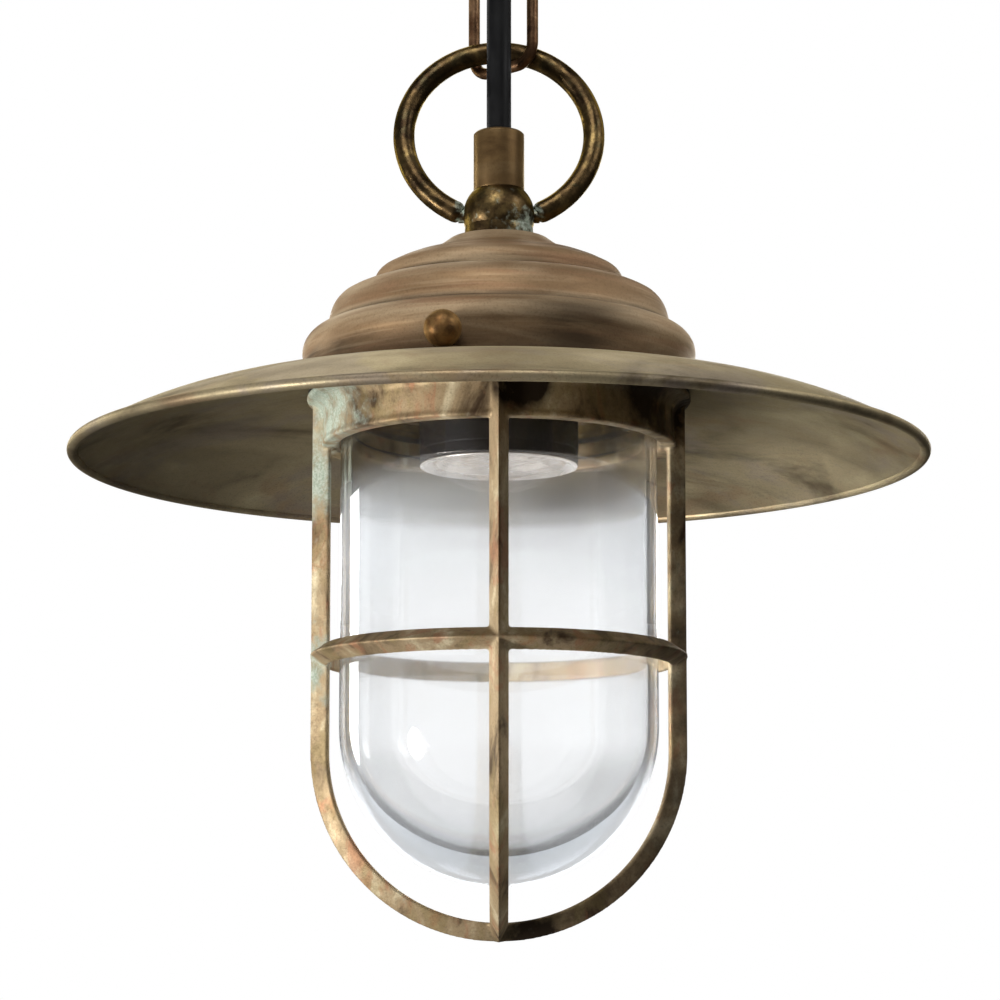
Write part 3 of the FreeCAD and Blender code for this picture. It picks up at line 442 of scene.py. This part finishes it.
def cage_painted_shade(graph):
    """Painted shadow on the collar right of the front rib and by the foot of the right one, and painted
    shade darkening the right side.
    """
    # Painted shadow of the front rib on the collar.
    beside = near(graph, beside_axis(57.0, 6.0, -51.0), 0.014)
    beside = graph.limits(beside, 0.1, 0.6, 0.0, 1.1)
    # Painted shade: the right side darker, fully on the collar and less below it.
    right = graph.limits(graph.axis("X"), AXIS_X + 14 * MM, AXIS_X + 46 * MM, 0.0, 0.95)
    collar = graph.limits(graph.axis("Z"), on_axis(70.0).z, on_axis(60.0).z, 0.55, 1.0)
    right = graph.math("MULTIPLY", right, collar)
    # Painted shadow where the ribs meet at the foot.
    foot = near(graph, beside_axis(202.0, 10.0, 0.0), 0.018)
    painted_shadow = graph.math("MAXIMUM", graph.math("MAXIMUM", beside, foot), right)
    return graph.math("MULTIPLY", painted_shadow, graph.limits(graph.noise(85.0, 4.0, 0.6), 0.3, 0.65, 0.6, 1.4))


def shade_green(graph):
    """Traces of verdigris beside the cage's collar, on the left."""
    seat = near(graph, beside_axis(55.0, -50.0, -20.0), 0.035)
    return speckled(graph, seat, 150.0, 0.80, 1.0)


def cap_painted_shade(graph):
    """Painted shade in the creases between the tiers and along the skirt's foot, and a painted shadow beside
    the front thumbscrew.
    """
    height = graph.math("DIVIDE", graph.math("SUBTRACT", graph.axis("Z"), on_axis(CAP_BASE).z), MM)
    # Painted shade along the skirt's foot and in the two creases between the tiers.
    creases = 0.0
    for level, reach in ((0.0, 11.0), (16.4, 1.6), (28.3, 1.6)):
        away = graph.math("ABSOLUTE", graph.math("SUBTRACT", height, level), 0.0)
        creases = graph.math("MAXIMUM", creases, graph.limits(away, 0.2, reach, 0.8, 0.0))
    # Painted shadow on the skirt, right of the front thumbscrew.
    patch = near(graph, beside_axis(46.0, 20.0, -48.0), 0.036)
    patch = graph.math("MULTIPLY", patch, graph.limits(height, 12.0, 16.0, 1.0, 0.0))
    ragged = graph.limits(graph.noise(60.0, 4.0, 0.6, graph.stretched(0.5, 0.5, 3.0)), 0.3, 0.6, 0.5, 0.9)
    return graph.math("MULTIPLY", graph.math("MAXIMUM", creases, patch), ragged)


def shade_wipes_and_painted_shade(graph):
    """Wiping marks all over, and painted shade darkening the underside towards the left rim."""
    marks = graph.noise(70.0, 3.0, 0.6, graph.stretched(0.16, 1.3, 1.0), 0.3)
    # Painted shade: the underside darker towards the left rim.
    underside = graph.limits(graph.facing("Z"), -0.2, 0.1, 1.0, 0.0)
    left = graph.limits(graph.axis("X"), AXIS_X - 115 * MM, AXIS_X - 45 * MM, 0.45, 0.0)
    wiped = graph.limits(marks, 0.52, 0.75, 0.0, 0.3)
    return graph.math("MAXIMUM", wiped, graph.math("MULTIPLY", underside, left))


def make_materials():
    """One material for each material slot."""
    made = {}
    made["cap_bronze"] = patina(
        "cap_bronze", "4f3d2b", "80674c", "a08b6f", (0.45, 0.65), 0.4, 16.0, (0.55, 0.55, 5.0),
        accent=("8c6a50", 0.6), streaks=0.45, shadow=cap_painted_shade)
    made["shade_brass"] = patina(
        "shade_brass", "40352a", "93866a", "b3a785", (0.42, 0.6), 0.6, 22.0, (0.8, 0.8, 1.6),
        accent=("84694f", 0.5), second=("857a70", 0.55), green=shade_green, contrast=0.22,
        shadow=shade_wipes_and_painted_shade)
    made["cage_bronze"] = patina(
        "cage_bronze", "463629", "a08b6c", "cdbf9f", (0.5, 0.66), 0.4, 80.0, (1, 1, 0.55),
        accent=("a06c50", 0.6), second=("8a7a52", 0.45), green=cage_green, contrast=0.2, shadow=cage_painted_shade)
    made["ring_brass"] = patina(
        "ring_brass", "251b12", "493a25", "6d5b39", (0.28, 0.5), 0.9, 110.0, accent=("3a3524", 0.7),
        green=ball_green, grain=0.00006, contrast=0.2)
    made["chain_brass"] = patina(
        "chain_brass", "36241a", "5f4632", "7c6148", (0.34, 0.5), 0.8, 90.0, accent=("4d2f1f", 0.6),
        grain=0.00005)
    made["sleeve_brass"] = patina(
        "sleeve_brass", "4e3b25", "614c31", "6c573b", (0.38, 0.46), 0.7, 30.0, (1, 1, 3), grain=0.00004)
    made["knob_brass"] = patina(
        "knob_brass", "483320", "765936", "98784d", (0.4, 0.55), 0.7, 110.0, accent=("7c5430", 0.5),
        grain=0.00006)
    made["spun_brass"] = patina(
        "spun_brass", "4f4030", "77624a", "8f7a5f", (0.42, 0.6), 0.5, 18.0, (0.6, 0.6, 4.0),
        accent=("6e5440", 0.5), streaks=0.3)
    made["fastener_brass"] = patina(
        "fastener_brass", "3c301f", "615033", "846f48", (0.35, 0.5), 0.9, 120.0, grain=0.00006)
    made["plated_steel"] = patina(
        "plated_steel", "6f7172", "8e9090", "a5a6a3", (0.34, 0.5), 0.95, 70.0, grain=0.00005)
    made["thread_metal"] = patina(
        "thread_metal", "8d8578", "b5aea1", "cbc5ba", (0.24, 0.36), 0.95, 120.0, grain=0.00003)
    made["polished_metal"] = polished_metal()
    made["bakelite"] = moulded("bakelite", "090706", "110d0c", 0.4, 0.52, 0.1)
    made["ceramic"] = moulded("ceramic", "d5d1c6", "e6e3da", 0.5, 0.66)
    made["insulator_white"] = moulded("insulator_white", "cdc9bd", "dddacf", 0.42, 0.55)
    made["core_insulation"] = moulded("core_insulation", "2e5a93", "3d6aa4", 0.36, 0.48)
    made["gasket_rubber"] = moulded("gasket_rubber", "161514", "242220", 0.6, 0.8)
    made["cable_rubber"] = cable_rubber()
    made["clear_glass"] = clear_glass()
    return made


def moulded(name, dark, light, smooth, rough, gloss=0.5):
    """A moulded surface with faint flow tones and a fine grain."""
    graph = Graph(name)
    tone = graph.noise(90.0, 4.0, 0.55)
    roughness = graph.limits(graph.noise(220.0, 4.0, 0.6), 0.35, 0.65, smooth, rough)
    normal = graph.bump(graph.noise(2600.0, 3.0, 0.6), 0.2, 0.00004)
    graph.set(Base_Color=graph.mix(graph.limits(tone, 0.3, 0.7), dark, light), Roughness=roughness,
              Specular_IOR_Level=gloss, Normal=normal)
    return graph.material


def polished_metal():
    """Polished metal with fine turning marks."""
    graph = Graph("polished_metal")
    turned_marks = graph.noise(900.0, 2.0, 0.5, graph.stretched(0.05, 0.05, 1.0))
    colour = graph.mix(graph.limits(graph.noise(180.0, 3.0, 0.5), 0.3, 0.7), "cfc6bd", "e2dbd3")
    roughness = graph.limits(turned_marks, 0.3, 0.7, 0.2, 0.32)
    graph.set(Base_Color=colour, Roughness=roughness, Metallic=1.0,
              Normal=graph.bump(turned_marks, 0.15, 0.00005))
    return graph.material


def cable_rubber():
    """Extruded rubber: faint lengthwise lines and a dusting of lighter rub marks."""
    graph = Graph("cable_rubber")
    lines = graph.noise(1400.0, 3.0, 0.6, graph.stretched(1.0, 1.0, 0.03))
    rubbed = graph.noise(240.0, 4.0, 0.6, graph.stretched(1.0, 1.0, 0.4))
    colour = graph.mix(graph.limits(rubbed, 0.5, 0.8), "060607", "101011")
    roughness = graph.limits(rubbed, 0.3, 0.7, 0.4, 0.55)
    graph.set(Base_Color=colour, Specular_IOR_Level=0.13, Roughness=roughness,
              Normal=graph.bump(lines, 0.3, 0.00008))
    return graph.material


def clear_glass():
    """Clear pressed glass: slightly wavy, faintly blue in its depth, with a haze on the back wall.

    Some light goes straight through, most of it in the thick floor, so that the floor stays pale, and
    least along the inner surface's own outline, which reads as a grey line.
    """
    graph = Graph("clear_glass")
    wave = graph.bump(graph.noise(28.0, 2.0, 0.4), 0.12, 0.0006)
    haze = graph.limits(graph.axis("Y"), AXIS_Y, AXIS_Y + 25 * MM, 0.03, 0.16)
    graph.set(Base_Color="ffffff", Roughness=haze, IOR=1.47, Transmission_Weight=1.0, Normal=wave)
    clear = graph.tree.nodes.new("ShaderNodeBsdfTransparent")
    blend = graph.tree.nodes.new("ShaderNodeMixShader")
    edge = graph.tree.nodes.new("ShaderNodeLayerWeight")
    inner_edge = graph.math("MULTIPLY", graph.limits(edge.outputs["Facing"], 0.5, 0.85), jar_inside(graph))
    floor = graph.limits(graph.axis("Z"), on_axis(170.0).z, on_axis(148.0).z, 0.78, 0.12)
    graph.put(blend.inputs[0], graph.math("MULTIPLY", floor, graph.limits(inner_edge, 0.0, 1.0, 1.0, 0.1)))
    graph.put(blend.inputs[1], graph.shader.outputs["BSDF"])
    graph.put(blend.inputs[2], clear.outputs["BSDF"])
    depth = graph.tree.nodes.new("ShaderNodeVolumeAbsorption")
    depth.inputs["Color"].default_value = tint("b2bfcc")
    depth.inputs["Density"].default_value = 19.0
    # A pale diffuse film inside the jar: a painted reflection, the veil of reflected light over the far
    # shade.
    painted_reflection = graph.tree.nodes.new("ShaderNodeBsdfDiffuse")
    painted_reflection.inputs["Color"].default_value = tint("c9cdd0")
    with_reflection = graph.tree.nodes.new("ShaderNodeMixShader")
    graph.put(with_reflection.inputs[0], graph.math("MULTIPLY", jar_inside(graph), jar_painted_reflection(graph)))
    graph.put(with_reflection.inputs[1], blend.outputs["Shader"])
    graph.put(with_reflection.inputs[2], painted_reflection.outputs["BSDF"])
    output = graph.tree.nodes["Material Output"]
    graph.put(output.inputs["Surface"], with_reflection.outputs["Shader"])
    graph.put(output.inputs["Volume"], depth.outputs["Volume"])
    return graph.material


def jar_painted_reflection(graph):
    """A faint pale film inside the jar, thickest just below the lamp holder: a painted reflection, the veil
    of reflected light over the far shade.
    """
    thickness = graph.limits(graph.axis("Z"), on_axis(122.0).z, on_axis(92.0).z, 0.07, 0.27)
    upper_edge = graph.limits(graph.axis("Z"), on_axis(88.0).z, on_axis(73.0).z, 1.0, 0.0)
    return graph.math("MULTIPLY", thickness, upper_edge)


def jar_inside(graph):
    """1 on the jar's inner surface, 0 on its outer one."""
    centre = on_axis(JAR_BEND)
    node = graph.tree.nodes.new("ShaderNodeCombineXYZ")
    graph.put(node.inputs[0], graph.math("SUBTRACT", graph.axis("X"), centre.x))
    graph.put(node.inputs[1], graph.math("SUBTRACT", graph.axis("Y"), centre.y))
    graph.put(node.inputs[2], graph.math("MINIMUM", graph.math("SUBTRACT", graph.axis("Z"), centre.z), 0.0))
    length = graph.tree.nodes.new("ShaderNodeVectorMath")
    length.operation = "LENGTH"
    graph.put(length.inputs[0], node.outputs[0])
    return graph.limits(length.outputs["Value"], 42.0 * MM, 43.5 * MM, 1.0, 0.0)


# ---- suspension ------------------------------------------------------------------------------------

LEAN = math.radians(13.0)
LINK_WIRE = 1.65
LINK_WIDTH = 26.0
LINK_LENGTH = 50.0
LINK_CORNER = 5.85
RING_CENTRE = 25.7
RING_RADIUS = 27.25
RING_BAR = 3.05
CABLE_RADIUS = 3.5


def link_path():
    """The centreline of a chain link in its own plane."""
    bend = LINK_CORNER
    side = LINK_WIDTH / 2 - LINK_WIRE
    end = LINK_LENGTH / 2 - LINK_WIRE
    flat = end - bend
    top = side - bend
    corners = [(side, -flat), (side, flat, bend, 1), (top, end), (-top, end, bend, 1),
               (-side, flat), (-side, -flat, bend, 1), (-top, -end), (top, -end, bend, 1)]
    points = outline(corners, True, 7.5)
    return [point for place, point in enumerate(points) if (point - points[place - 1]).length > 1e-6]


def chain_link(node, body, degrees, material):
    """A welded link of round wire with a slight weld swelling in the middle of one side."""
    spacing = 1.2
    weld_reach = 1.1
    swelling = 0.06
    low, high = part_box(node)
    centre = (low + high) / 2
    across = turned_axis(degrees)
    path = []
    radii = []
    points = link_path()
    for place, point in enumerate(points):
        following = points[(place + 1) % len(points)]
        pieces = max(1, math.ceil((following - point).length / spacing))
        for number in range(pieces):
            spot = point.lerp(following, number / pieces)
            path.append(centre + across * spot.x * MM + Vector((0, 0, spot.y * MM)))
            weld = math.exp(-(spot.y / weld_reach) ** 2) if spot.x > 0 else 0.0
            radii.append(LINK_WIRE * (1 + swelling * weld))
    link = sweep(node + "_bar", path, radii, True, 28)
    finish_piece(link, body, "chain_brass", material, node)


def suspension_ring(material):
    """The round-bar ring with its rounded ends and the two pins that enter the ball."""
    up = Vector((0, math.sin(LEAN), math.cos(LEAN)))
    centre = on_axis(0) + up * RING_CENTRE * MM
    half_gap = 22.9
    count = 180
    path = []
    radii = []
    for number in range(count + 1):
        turn = math.radians(half_gap + (360 - 2 * half_gap) * number / count)
        outward = Vector((1, 0, 0)) * math.sin(turn) - up * math.cos(turn)
        path.append(centre + outward * RING_RADIUS * MM)
        near_end = min(number, count - number)
        radii.append(RING_BAR if near_end > 1 else (2.2, 2.85)[near_end])
    ring = sweep("ring_bar", path, radii)
    pins = []
    for side in (1, -1):
        ends = [on_axis(0) + Vector((side * reach * MM, 0, 0)) for reach in (5.3, 11.5)]
        pins.append(sweep("ring_pin", ends, 2.0, False, 24))
    finish_piece(joined("ring_with_pins", [ring] + pins), "ring", "ring_brass", material, "suspension_ring")


def route(controls):
    """Points along the smooth curve whose control points are given."""
    curve = bpy.data.curves.new("route", "CURVE")
    curve.dimensions = "3D"
    curve.resolution_u = 12
    spline = curve.splines.new("NURBS")
    spline.points.add(len(controls) - 1)
    for point, place in zip(spline.points, controls):
        point.co = (*place, 1.0)
    spline.order_u = 3
    spline.use_endpoint_u = True
    carrier = bpy.data.objects.new("route", curve)
    bpy.context.scene.collection.objects.link(carrier)
    graph = bpy.context.evaluated_depsgraph_get()
    mesh = bpy.data.meshes.new_from_object(carrier.evaluated_get(graph))
    points = [vertex.co.copy() for vertex in mesh.vertices]
    bpy.data.objects.remove(carrier)
    return points


def cables(material):
    """The one cable in four straight lengths, each across one joint of the suspension."""
    for number in range(4):
        node = "cable_%d" % (number + 1)
        low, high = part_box(node)
        bottom = Vector((AXIS_X, AXIS_Y, low.z))
        top = Vector((AXIS_X, AXIS_Y, high.z))
        points = route([bottom, bottom.lerp(top, 0.5), top])
        length = sweep(node + "_sheath", points, CABLE_RADIUS, False, 40)
        length.data.materials.append(material)
        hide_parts(node)
        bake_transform(length)


def ball_and_sleeve(materials):
    """The ball with its short foot, and the cable's sleeve on top of it."""
    ball = lathe("ball", [
        (3.8, 4.4), (3.8, 14.6), (7.2, 14.6, 10.2, -1), (9.6168, 4.0), (9.75, 2.4), (9.6, 0),
        (5.1, 0), (5.1, 4.4),
    ], on_axis(BALL_LIFT), 0.35, 120, 4.0)
    finish_piece(ball, "lantern", "ring_brass", materials["ring_brass"], "ball_boss")
    sleeve = lathe("sleeve", [
        (3.8, 0), (7.2, 0), (7.2, 16.3), (6.6, 16.9), (3.8, 16.9),
    ], on_axis(SLEEVE_BASE), 0.25, 120)
    finish_piece(sleeve, "lantern", "sleeve_brass", materials["sleeve_brass"], "cable_sleeve")


def ceiling_hook(material):
    """The bent hook with a slightly rounded tip."""
    bow = 9.0
    turn = math.radians(50.0)
    tip = math.radians(35.0)
    run_in = bow * math.cos(turn) / (1 - math.cos(turn))
    low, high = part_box("ceiling_hook")
    wire = 2.5
    spine = outline([
        (0, (high.z - low.z) / MM - bow - wire), (0, (bow + run_in) * math.sin(turn), run_in, 1),
        (bow * math.cos(turn), bow * math.sin(turn), bow, -1), (0, -bow, bow, -1),
        (-bow * math.cos(tip), bow * math.sin(tip)),
    ], False, 5.0)
    across = turned_axis(-42.0)
    centre = Vector((0, 0, low.z + (bow + wire) * MM))
    path = [centre + across * point.x * MM + Vector((0, 0, point.y * MM)) for point in spine]
    radii = [wire] * (len(path) - 1) + [wire * 0.8]
    hook = sweep("hook_bar", path, radii, False, 32)
    finish_piece(hook, "ceiling", "chain_brass", material, "ceiling_hook")


def ceiling_rose(material):
    """The spun rose with a beaded hole at its bottom."""
    base = Vector((0, 0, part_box("ceiling_rose")[0].z))
    rose = lathe("rose_dome", [
        (48.5, 40), (50, 40), (50, 30, 30, -1), (21, 3), (21.4, 2.2), (21.4, 0.6), (21, 0), (19.5, 0),
        (19.5, 4.5, 30, 1), (48.5, 30),
    ], base, 0.5, 192)
    finish_piece(rose, "ceiling", "spun_brass", material, "ceiling_rose")


# ---- cap, shade and knobs --------------------------------------------------------------------------

def cap(material):
    """The spun cap, its steps slightly rounded."""
    tiers = [
        (55.1, 0.6), (55.1, 7.8, 6.5, 1), (49.1, 16.05), (48.7, 16.5), (47.42, 21.33, 8, 1),
        (44.96, 25.32, 17, 1), (36.6, 27.9), (35.4, 28.5), (35.2, 29.2), (35.2, 30.3, 4, 1),
        (33.45, 33.56, 40, 1), (20.9, 38.3, 47, -1), (14.2, 42.8), (5.1, 42.8), (5.1, 41.4),
    ]
    inside = [
        (12.8, 41.4, 47, 1), (19.5, 36.9, 40, -1), (33.8, 31.0), (33.8, 27.2), (35.2, 26.5, 17, -1),
        (45.4, 22.3), (47.4, 14.7, 6.5, -1), (53.7, 6.4),
    ]
    shell = lathe("cap_shell", [(53.7, 0), (54.9, 0)] + tiers + inside, on_axis(CAP_BASE), 0.7, 200)
    finish_piece(shell, "lantern", "cap_bronze", material, "cap")


def shade(material):
    """The spun shade with its rolled rim."""
    seat = SHADE_RIM - CAP_BASE
    dish = lathe("shade_dish", [
        (48.6, seat), (56.0, seat), (86.0, 15.6, 108, -1), (117.75, 2.8, 1.5, -1), (120.0, 1.5, 1.5, -1),
        (118.5, 0, 1.5, -1), (117.0, 1.5, 108, 1), (86.0, 14.1), (56.0, seat - 1.5), (48.6, seat - 1.5),
    ], on_axis(SHADE_RIM), 0.4, 320, 2.0, 50.0)
    finish_piece(dish, "lantern", "shade_brass", material, "shade")


def thumbscrews(material):
    """Ball-headed screws: turned upright at the origin, then laid along their own directions."""
    reach = 60.6
    tip = 48.1 - reach
    head = 5.0
    shank = 2.0
    waist = math.sqrt(head ** 2 - shank ** 2)
    corners = [(0, tip), (shank, tip), (shank, -waist, head, 1), (head, 0, head, 1), (0, head)]
    profile = [tuple(point) for point in outline(corners, True, 6.0)]
    for node, degrees in (("thumbscrew_front", -104.0), ("thumbscrew_back", 76.0)):
        knob = lathe(node + "_knob", profile, Vector(), 0.2, 64)
        away = turned_axis(degrees)
        laid = Vector((0, 0, 1)).rotation_difference(away).to_matrix().to_4x4()
        knob.data.transform(Matrix.Translation(on_axis(THUMBSCREWS) + away * reach * MM) @ laid)
        finish_piece(knob, node + "_body", "knob_brass", material, node)


# ---- lamp holder -----------------------------------------------------------------------------------

def lamp_holder(materials):
    """Black two-part holder, its polished funnel with a rolled lip, and the rolled thread."""
    top = lathe("holder_dome", [
        (19.95, 0.15), (22.0, 0.15), (22.35, 0.7), (22.35, 17), (18.35, 21), (8.5, 21), (8.5, 28.5),
        (5.05, 28.5), (5.05, 18.6), (17.35, 18.6), (19.95, 15),
    ], on_axis(HOLDER_TOP), 0.8, 128)
    finish_piece(top, "lantern", "bakelite", materials["bakelite"], "holder_cap")
    body = lathe("holder_barrel", [
        (19.95, 0.6), (21.6, 0.6), (22.2, 1.2), (22.2, 4.2), (22.35, 4.6), (22.35, 25.6), (21.9, 26.3),
        (19.95, 26.3),
    ], on_axis(HOLDER_MOUTH), 0.4, 128)
    finish_piece(body, "lantern", "bakelite", materials["bakelite"], "holder_body")
    funnel = lathe("funnel", [
        (14.4, 8.5), (13.4, 8.5), (13.6, 7.9), (18.9, 0.9), (21.2, -0.1), (22.1, 0.0), (22.25, 0.5),
        (21.9, 0.9), (21.0, 0.75), (19.6, 1.8), (14.5, 8.1),
    ], on_axis(HOLDER_MOUTH), 0.5, 128)
    finish_piece(funnel, "lantern", "polished_metal", materials["polished_metal"], "holder_funnel")
    low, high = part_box("thread_shell")
    height = (high.z - low.z) / MM
    pitch = 3.6
    crest = 13.75
    depth = 0.4
    wall = []
    count = 72
    for number in range(count + 1):
        z = height * number / count
        wall.append((crest - depth * (0.5 + 0.5 * math.cos(2 * math.pi * z / pitch)), z))
    ring = [(r + 0.1, z) for r, z in wall] + [(r - 0.35, z) for r, z in reversed(wall)]
    shell = lathe("thread_rings", ring, Vector((AXIS_X, AXIS_Y, low.z)), 0.05, 96)
    finish_piece(shell, "lantern", "thread_metal", materials["thread_metal"], "thread_shell")


# ---- cage and jar ----------------------------------------------------------------------------------

CAGE_RADIUS = 52.8


def cage_bar(name, degrees):
    """One U-shaped bar from the collar down, under the jar and up the other side; ridged outside."""
    straight = 99.0
    straight_steps = 8
    bend_steps = 72
    section = [(0.0, 0.0), (4.9, 2.65), (5.6, 2.4), (5.6, -2.4), (4.9, -2.65)]
    path = []
    for number in range(straight_steps + 1):
        path.append((Vector((CAGE_RADIUS, straight * (1 - number / straight_steps))), Vector((-1, 0))))
    for number in range(1, bend_steps + 1):
        turn = math.radians(180.0 * number / bend_steps)
        out = Vector((math.cos(turn), -math.sin(turn)))
        path.append((out * CAGE_RADIUS, -out))
    for number in range(1, straight_steps + 1):
        path.append((Vector((-CAGE_RADIUS, straight * number / straight_steps)), Vector((1, 0))))
    across = turned_axis(degrees)
    side = Vector((-across.y, across.x, 0))
    base = on_axis(RIB_BEND)
    verts = []
    for point, inward in path:
        for depth, width in section:
            spot = point + inward * depth
            verts.append(base + across * spot.x * MM + Vector((0, 0, spot.y * MM)) + side * width * MM)
    size = len(section)
    faces = []
    for index in range(len(path) - 1):
        for number in range(size):
            turn = (number + 1) % size
            here, there = index * size, (index + 1) * size
            faces.append([here + number, there + number, there + turn, here + turn])
    faces.append(list(range(size)))
    faces.append(list(range((len(path) - 1) * size, len(path) * size))[::-1])
    return new_piece(name, verts, faces)


def cage(material):
    """Collar, ribs and hoop as the one casting they are: united, then smoothed to fillet every corner."""
    collar = lathe("collar", [
        (45.0, 0), (49.6, 0), (49.75, 0.5), (49.6, 1.2), (49.2, 1.7), (49.2, 9.0, 4.5, -1), (53.3, 12.4),
        (53.9, 12.8), (53.9, 14.0), (47.8, 14.0), (47.8, 24.8), (46.6, 24.8), (46.6, 3.2), (45.0, 3.2),
    ], on_axis(COLLAR_BASE), 0.2, 256)
    hoop = lathe("hoop", [
        (CAGE_RADIUS, 0), (48.3, 3.0), (47.4, 2.7), (47.4, -2.7), (48.3, -3.0),
    ], on_axis(HOOP), 0.0, 256)
    casting = joined("cage_casting", [collar, hoop, cage_bar("bar_x", 0.0), cage_bar("bar_y", 90.0)])
    remesh = casting.modifiers.new("unite", "REMESH")
    remesh.mode = "VOXEL"
    remesh.voxel_size = 0.00045
    remesh.use_smooth_shade = True
    smooth = casting.modifiers.new("fillet", "SMOOTH")
    smooth.factor = 0.5
    smooth.iterations = 3
    apply_modifiers(casting)
    finish_piece(casting, "cage", "cage_bronze", material, "cage_collar", "cage_hoop",
                 "cage_rib_front", "cage_rib_right", "cage_rib_back", "cage_rib_left")


def glass_jar(material):
    """The jar: round outside, a flatter and thicker floor inside, and a flange held in the collar.

    Its shadow is off, so that the lights reach the lamp holder and the shade through it.
    """
    outer = 44.4
    side = 41.1
    centre = -1.9
    floor = 34.1
    corner = 30.0
    inset = side - corner
    gap = floor - corner
    rise = (inset ** 2 - gap ** 2) / (2 * gap)
    crown = floor + rise
    reach = crown - corner
    jar = lathe("jar", [
        (0, -outer, outer, 1), (outer, 0), (outer, 89.2), (46.2, 89.2), (46.2, 93.2), (outer, 93.2),
        (outer, 91.2), (side, 91.2), (side, centre, corner, -1),
        (inset * crown / reach, centre + rise - rise * crown / reach, crown, -1), (0, centre - floor),
    ], on_axis(JAR_BEND), 0.6, 256, 2.5)
    jar.visible_shadow = False
    finish_piece(jar, "cage", "clear_glass", material, "glass_jar")


# ---- studio ----------------------------------------------------------------------------------------

def emission(name, colour, strength):
    """A material that only gives light."""
    material = bpy.data.materials.new(name)
    material.use_nodes = True
    shader = material.node_tree.nodes["Principled BSDF"]
    shader.inputs["Base Color"].default_value = tint("000000")
    shader.inputs["Specular IOR Level"].default_value = 0.0
    shader.inputs["Emission Color"].default_value = tint(colour)
    shader.inputs["Emission Strength"].default_value = strength
    return material


def floor_card():
    """A dim white card under the lantern, seen only in its reflections."""
    radius = 1.0
    count = 48
    points = []
    for number in range(count):
        turn = 2 * math.pi * number / count
        points.append((radius * math.cos(turn) - 0.5, radius * math.sin(turn), -0.88))
    card = new_piece("floor_card", points, [list(range(count))])
    card.data.materials.append(emission("card_white", "ffffff", 0.35))
    card.visible_camera = False
    card.visible_transmission = False
    card.visible_diffuse = False
    card.visible_shadow = False


def studio():
    """A pale floor that curves up into a pale backdrop, lit evenly and kept out of the reflections."""
    profile = [(0.02, -2.6), (2.4, -2.6), (3.3, -2.4), (3.8, -1.8), (3.9, 0.6), (3.9, 3.0), (3.2, 3.8),
               (0.02, 4.2)]
    segments = 64
    verts = []
    for radius, height in profile:
        for number in range(segments):
            angle = 2 * math.pi * number / segments
            verts.append((radius * math.cos(angle), radius * math.sin(angle), height))
    faces = []
    for row in range(len(profile) - 1):
        for number in range(segments):
            turn = (number + 1) % segments
            here, there = row * segments, (row + 1) * segments
            faces.append([here + number, here + turn, there + turn, there + number])
    floor = new_piece("studio_floor", verts, faces, 80.0)
    floor.data.materials.append(emission("studio_white", "ffffff", 1.0))
    floor.visible_glossy = False
    floor.visible_diffuse = False
    floor.visible_shadow = False
    floor_card()


def softbox(name, azimuth, elevation, distance, width, height, power):
    """A soft oval light aimed at the lantern; azimuth 0 is the camera's side, + is to the right."""
    data = bpy.data.lights.new(name, "AREA")
    data.shape = "ELLIPSE"
    data.size = width
    data.size_y = height
    data.energy = power
    light = bpy.data.objects.new(name, data)
    aim = on_axis(70.0)
    turn, rise = math.radians(azimuth), math.radians(elevation)
    away = Vector((math.sin(turn) * math.cos(rise), -math.cos(turn) * math.cos(rise), math.sin(rise)))
    light.location = aim + away * distance
    light.rotation_mode = "QUATERNION"
    light.rotation_quaternion = away.to_track_quat("Z", "Y")
    light.visible_camera = False
    light.visible_transmission = False
    bpy.context.scene.collection.objects.link(light)


def lights():
    """Softboxes around the lantern, strongest from the left and from behind, and a faint even sky."""
    softbox("key_left", -62, -15, 1.5, 0.32, 0.5, 27)
    softbox("left_back", -126, 4, 1.5, 0.4, 0.9, 8)
    softbox("low_left", -78, -36, 1.5, 0.6, 0.6, 5)
    softbox("overhead", -12, 52, 1.4, 0.9, 0.7, 12)
    softbox("right_top", 66, 34, 1.5, 0.8, 0.8, 8)
    softbox("backdrop", 174, 12, 2.2, 2.8, 0.6, 22)
    softbox("right_back", 125, 36, 1.6, 0.9, 0.9, 5)
    softbox("back_top", -165, 42, 1.6, 1.6, 0.8, 8)
    world = bpy.data.worlds.new("studio")
    world.use_nodes = True
    sky = world.node_tree.nodes["Background"]
    sky.inputs["Color"].default_value = (1, 1, 1, 1)
    sky.inputs["Strength"].default_value = 0.08
    scene = bpy.context.scene
    scene.world = world
    scene.view_settings.view_transform = "Standard"


# ---- assembly --------------------------------------------------------------------------------------

def dress_cad_nodes(materials):
    """Every CAD node that stays takes the material of its slot."""
    for row in frame["record"]["subparts"]:
        slots = frame["nodes"][row["node"]].data.materials
        if len(slots) == 0:
            slots.append(None)
        for place in range(len(slots)):
            slots[place] = materials[row["material_slot"]]


def main():
    """Camera, materials, every piece from the ceiling down, and the studio around them."""
    add_camera()
    materials = make_materials()
    dress_cad_nodes(materials)
    cables(materials["cable_rubber"])
    chain_link("chain_link_2", "upper_link", 48.0, materials["chain_brass"])
    chain_link("chain_link_1", "lower_link", -42.0, materials["chain_brass"])
    suspension_ring(materials["ring_brass"])
    ball_and_sleeve(materials)
    ceiling_hook(materials["chain_brass"])
    ceiling_rose(materials["spun_brass"])
    cap(materials["cap_bronze"])
    shade(materials["shade_brass"])
    thumbscrews(materials["knob_brass"])
    lamp_holder(materials)
    cage(materials["cage_bronze"])
    glass_jar(materials["clear_glass"])
    studio()
    lights()


main()
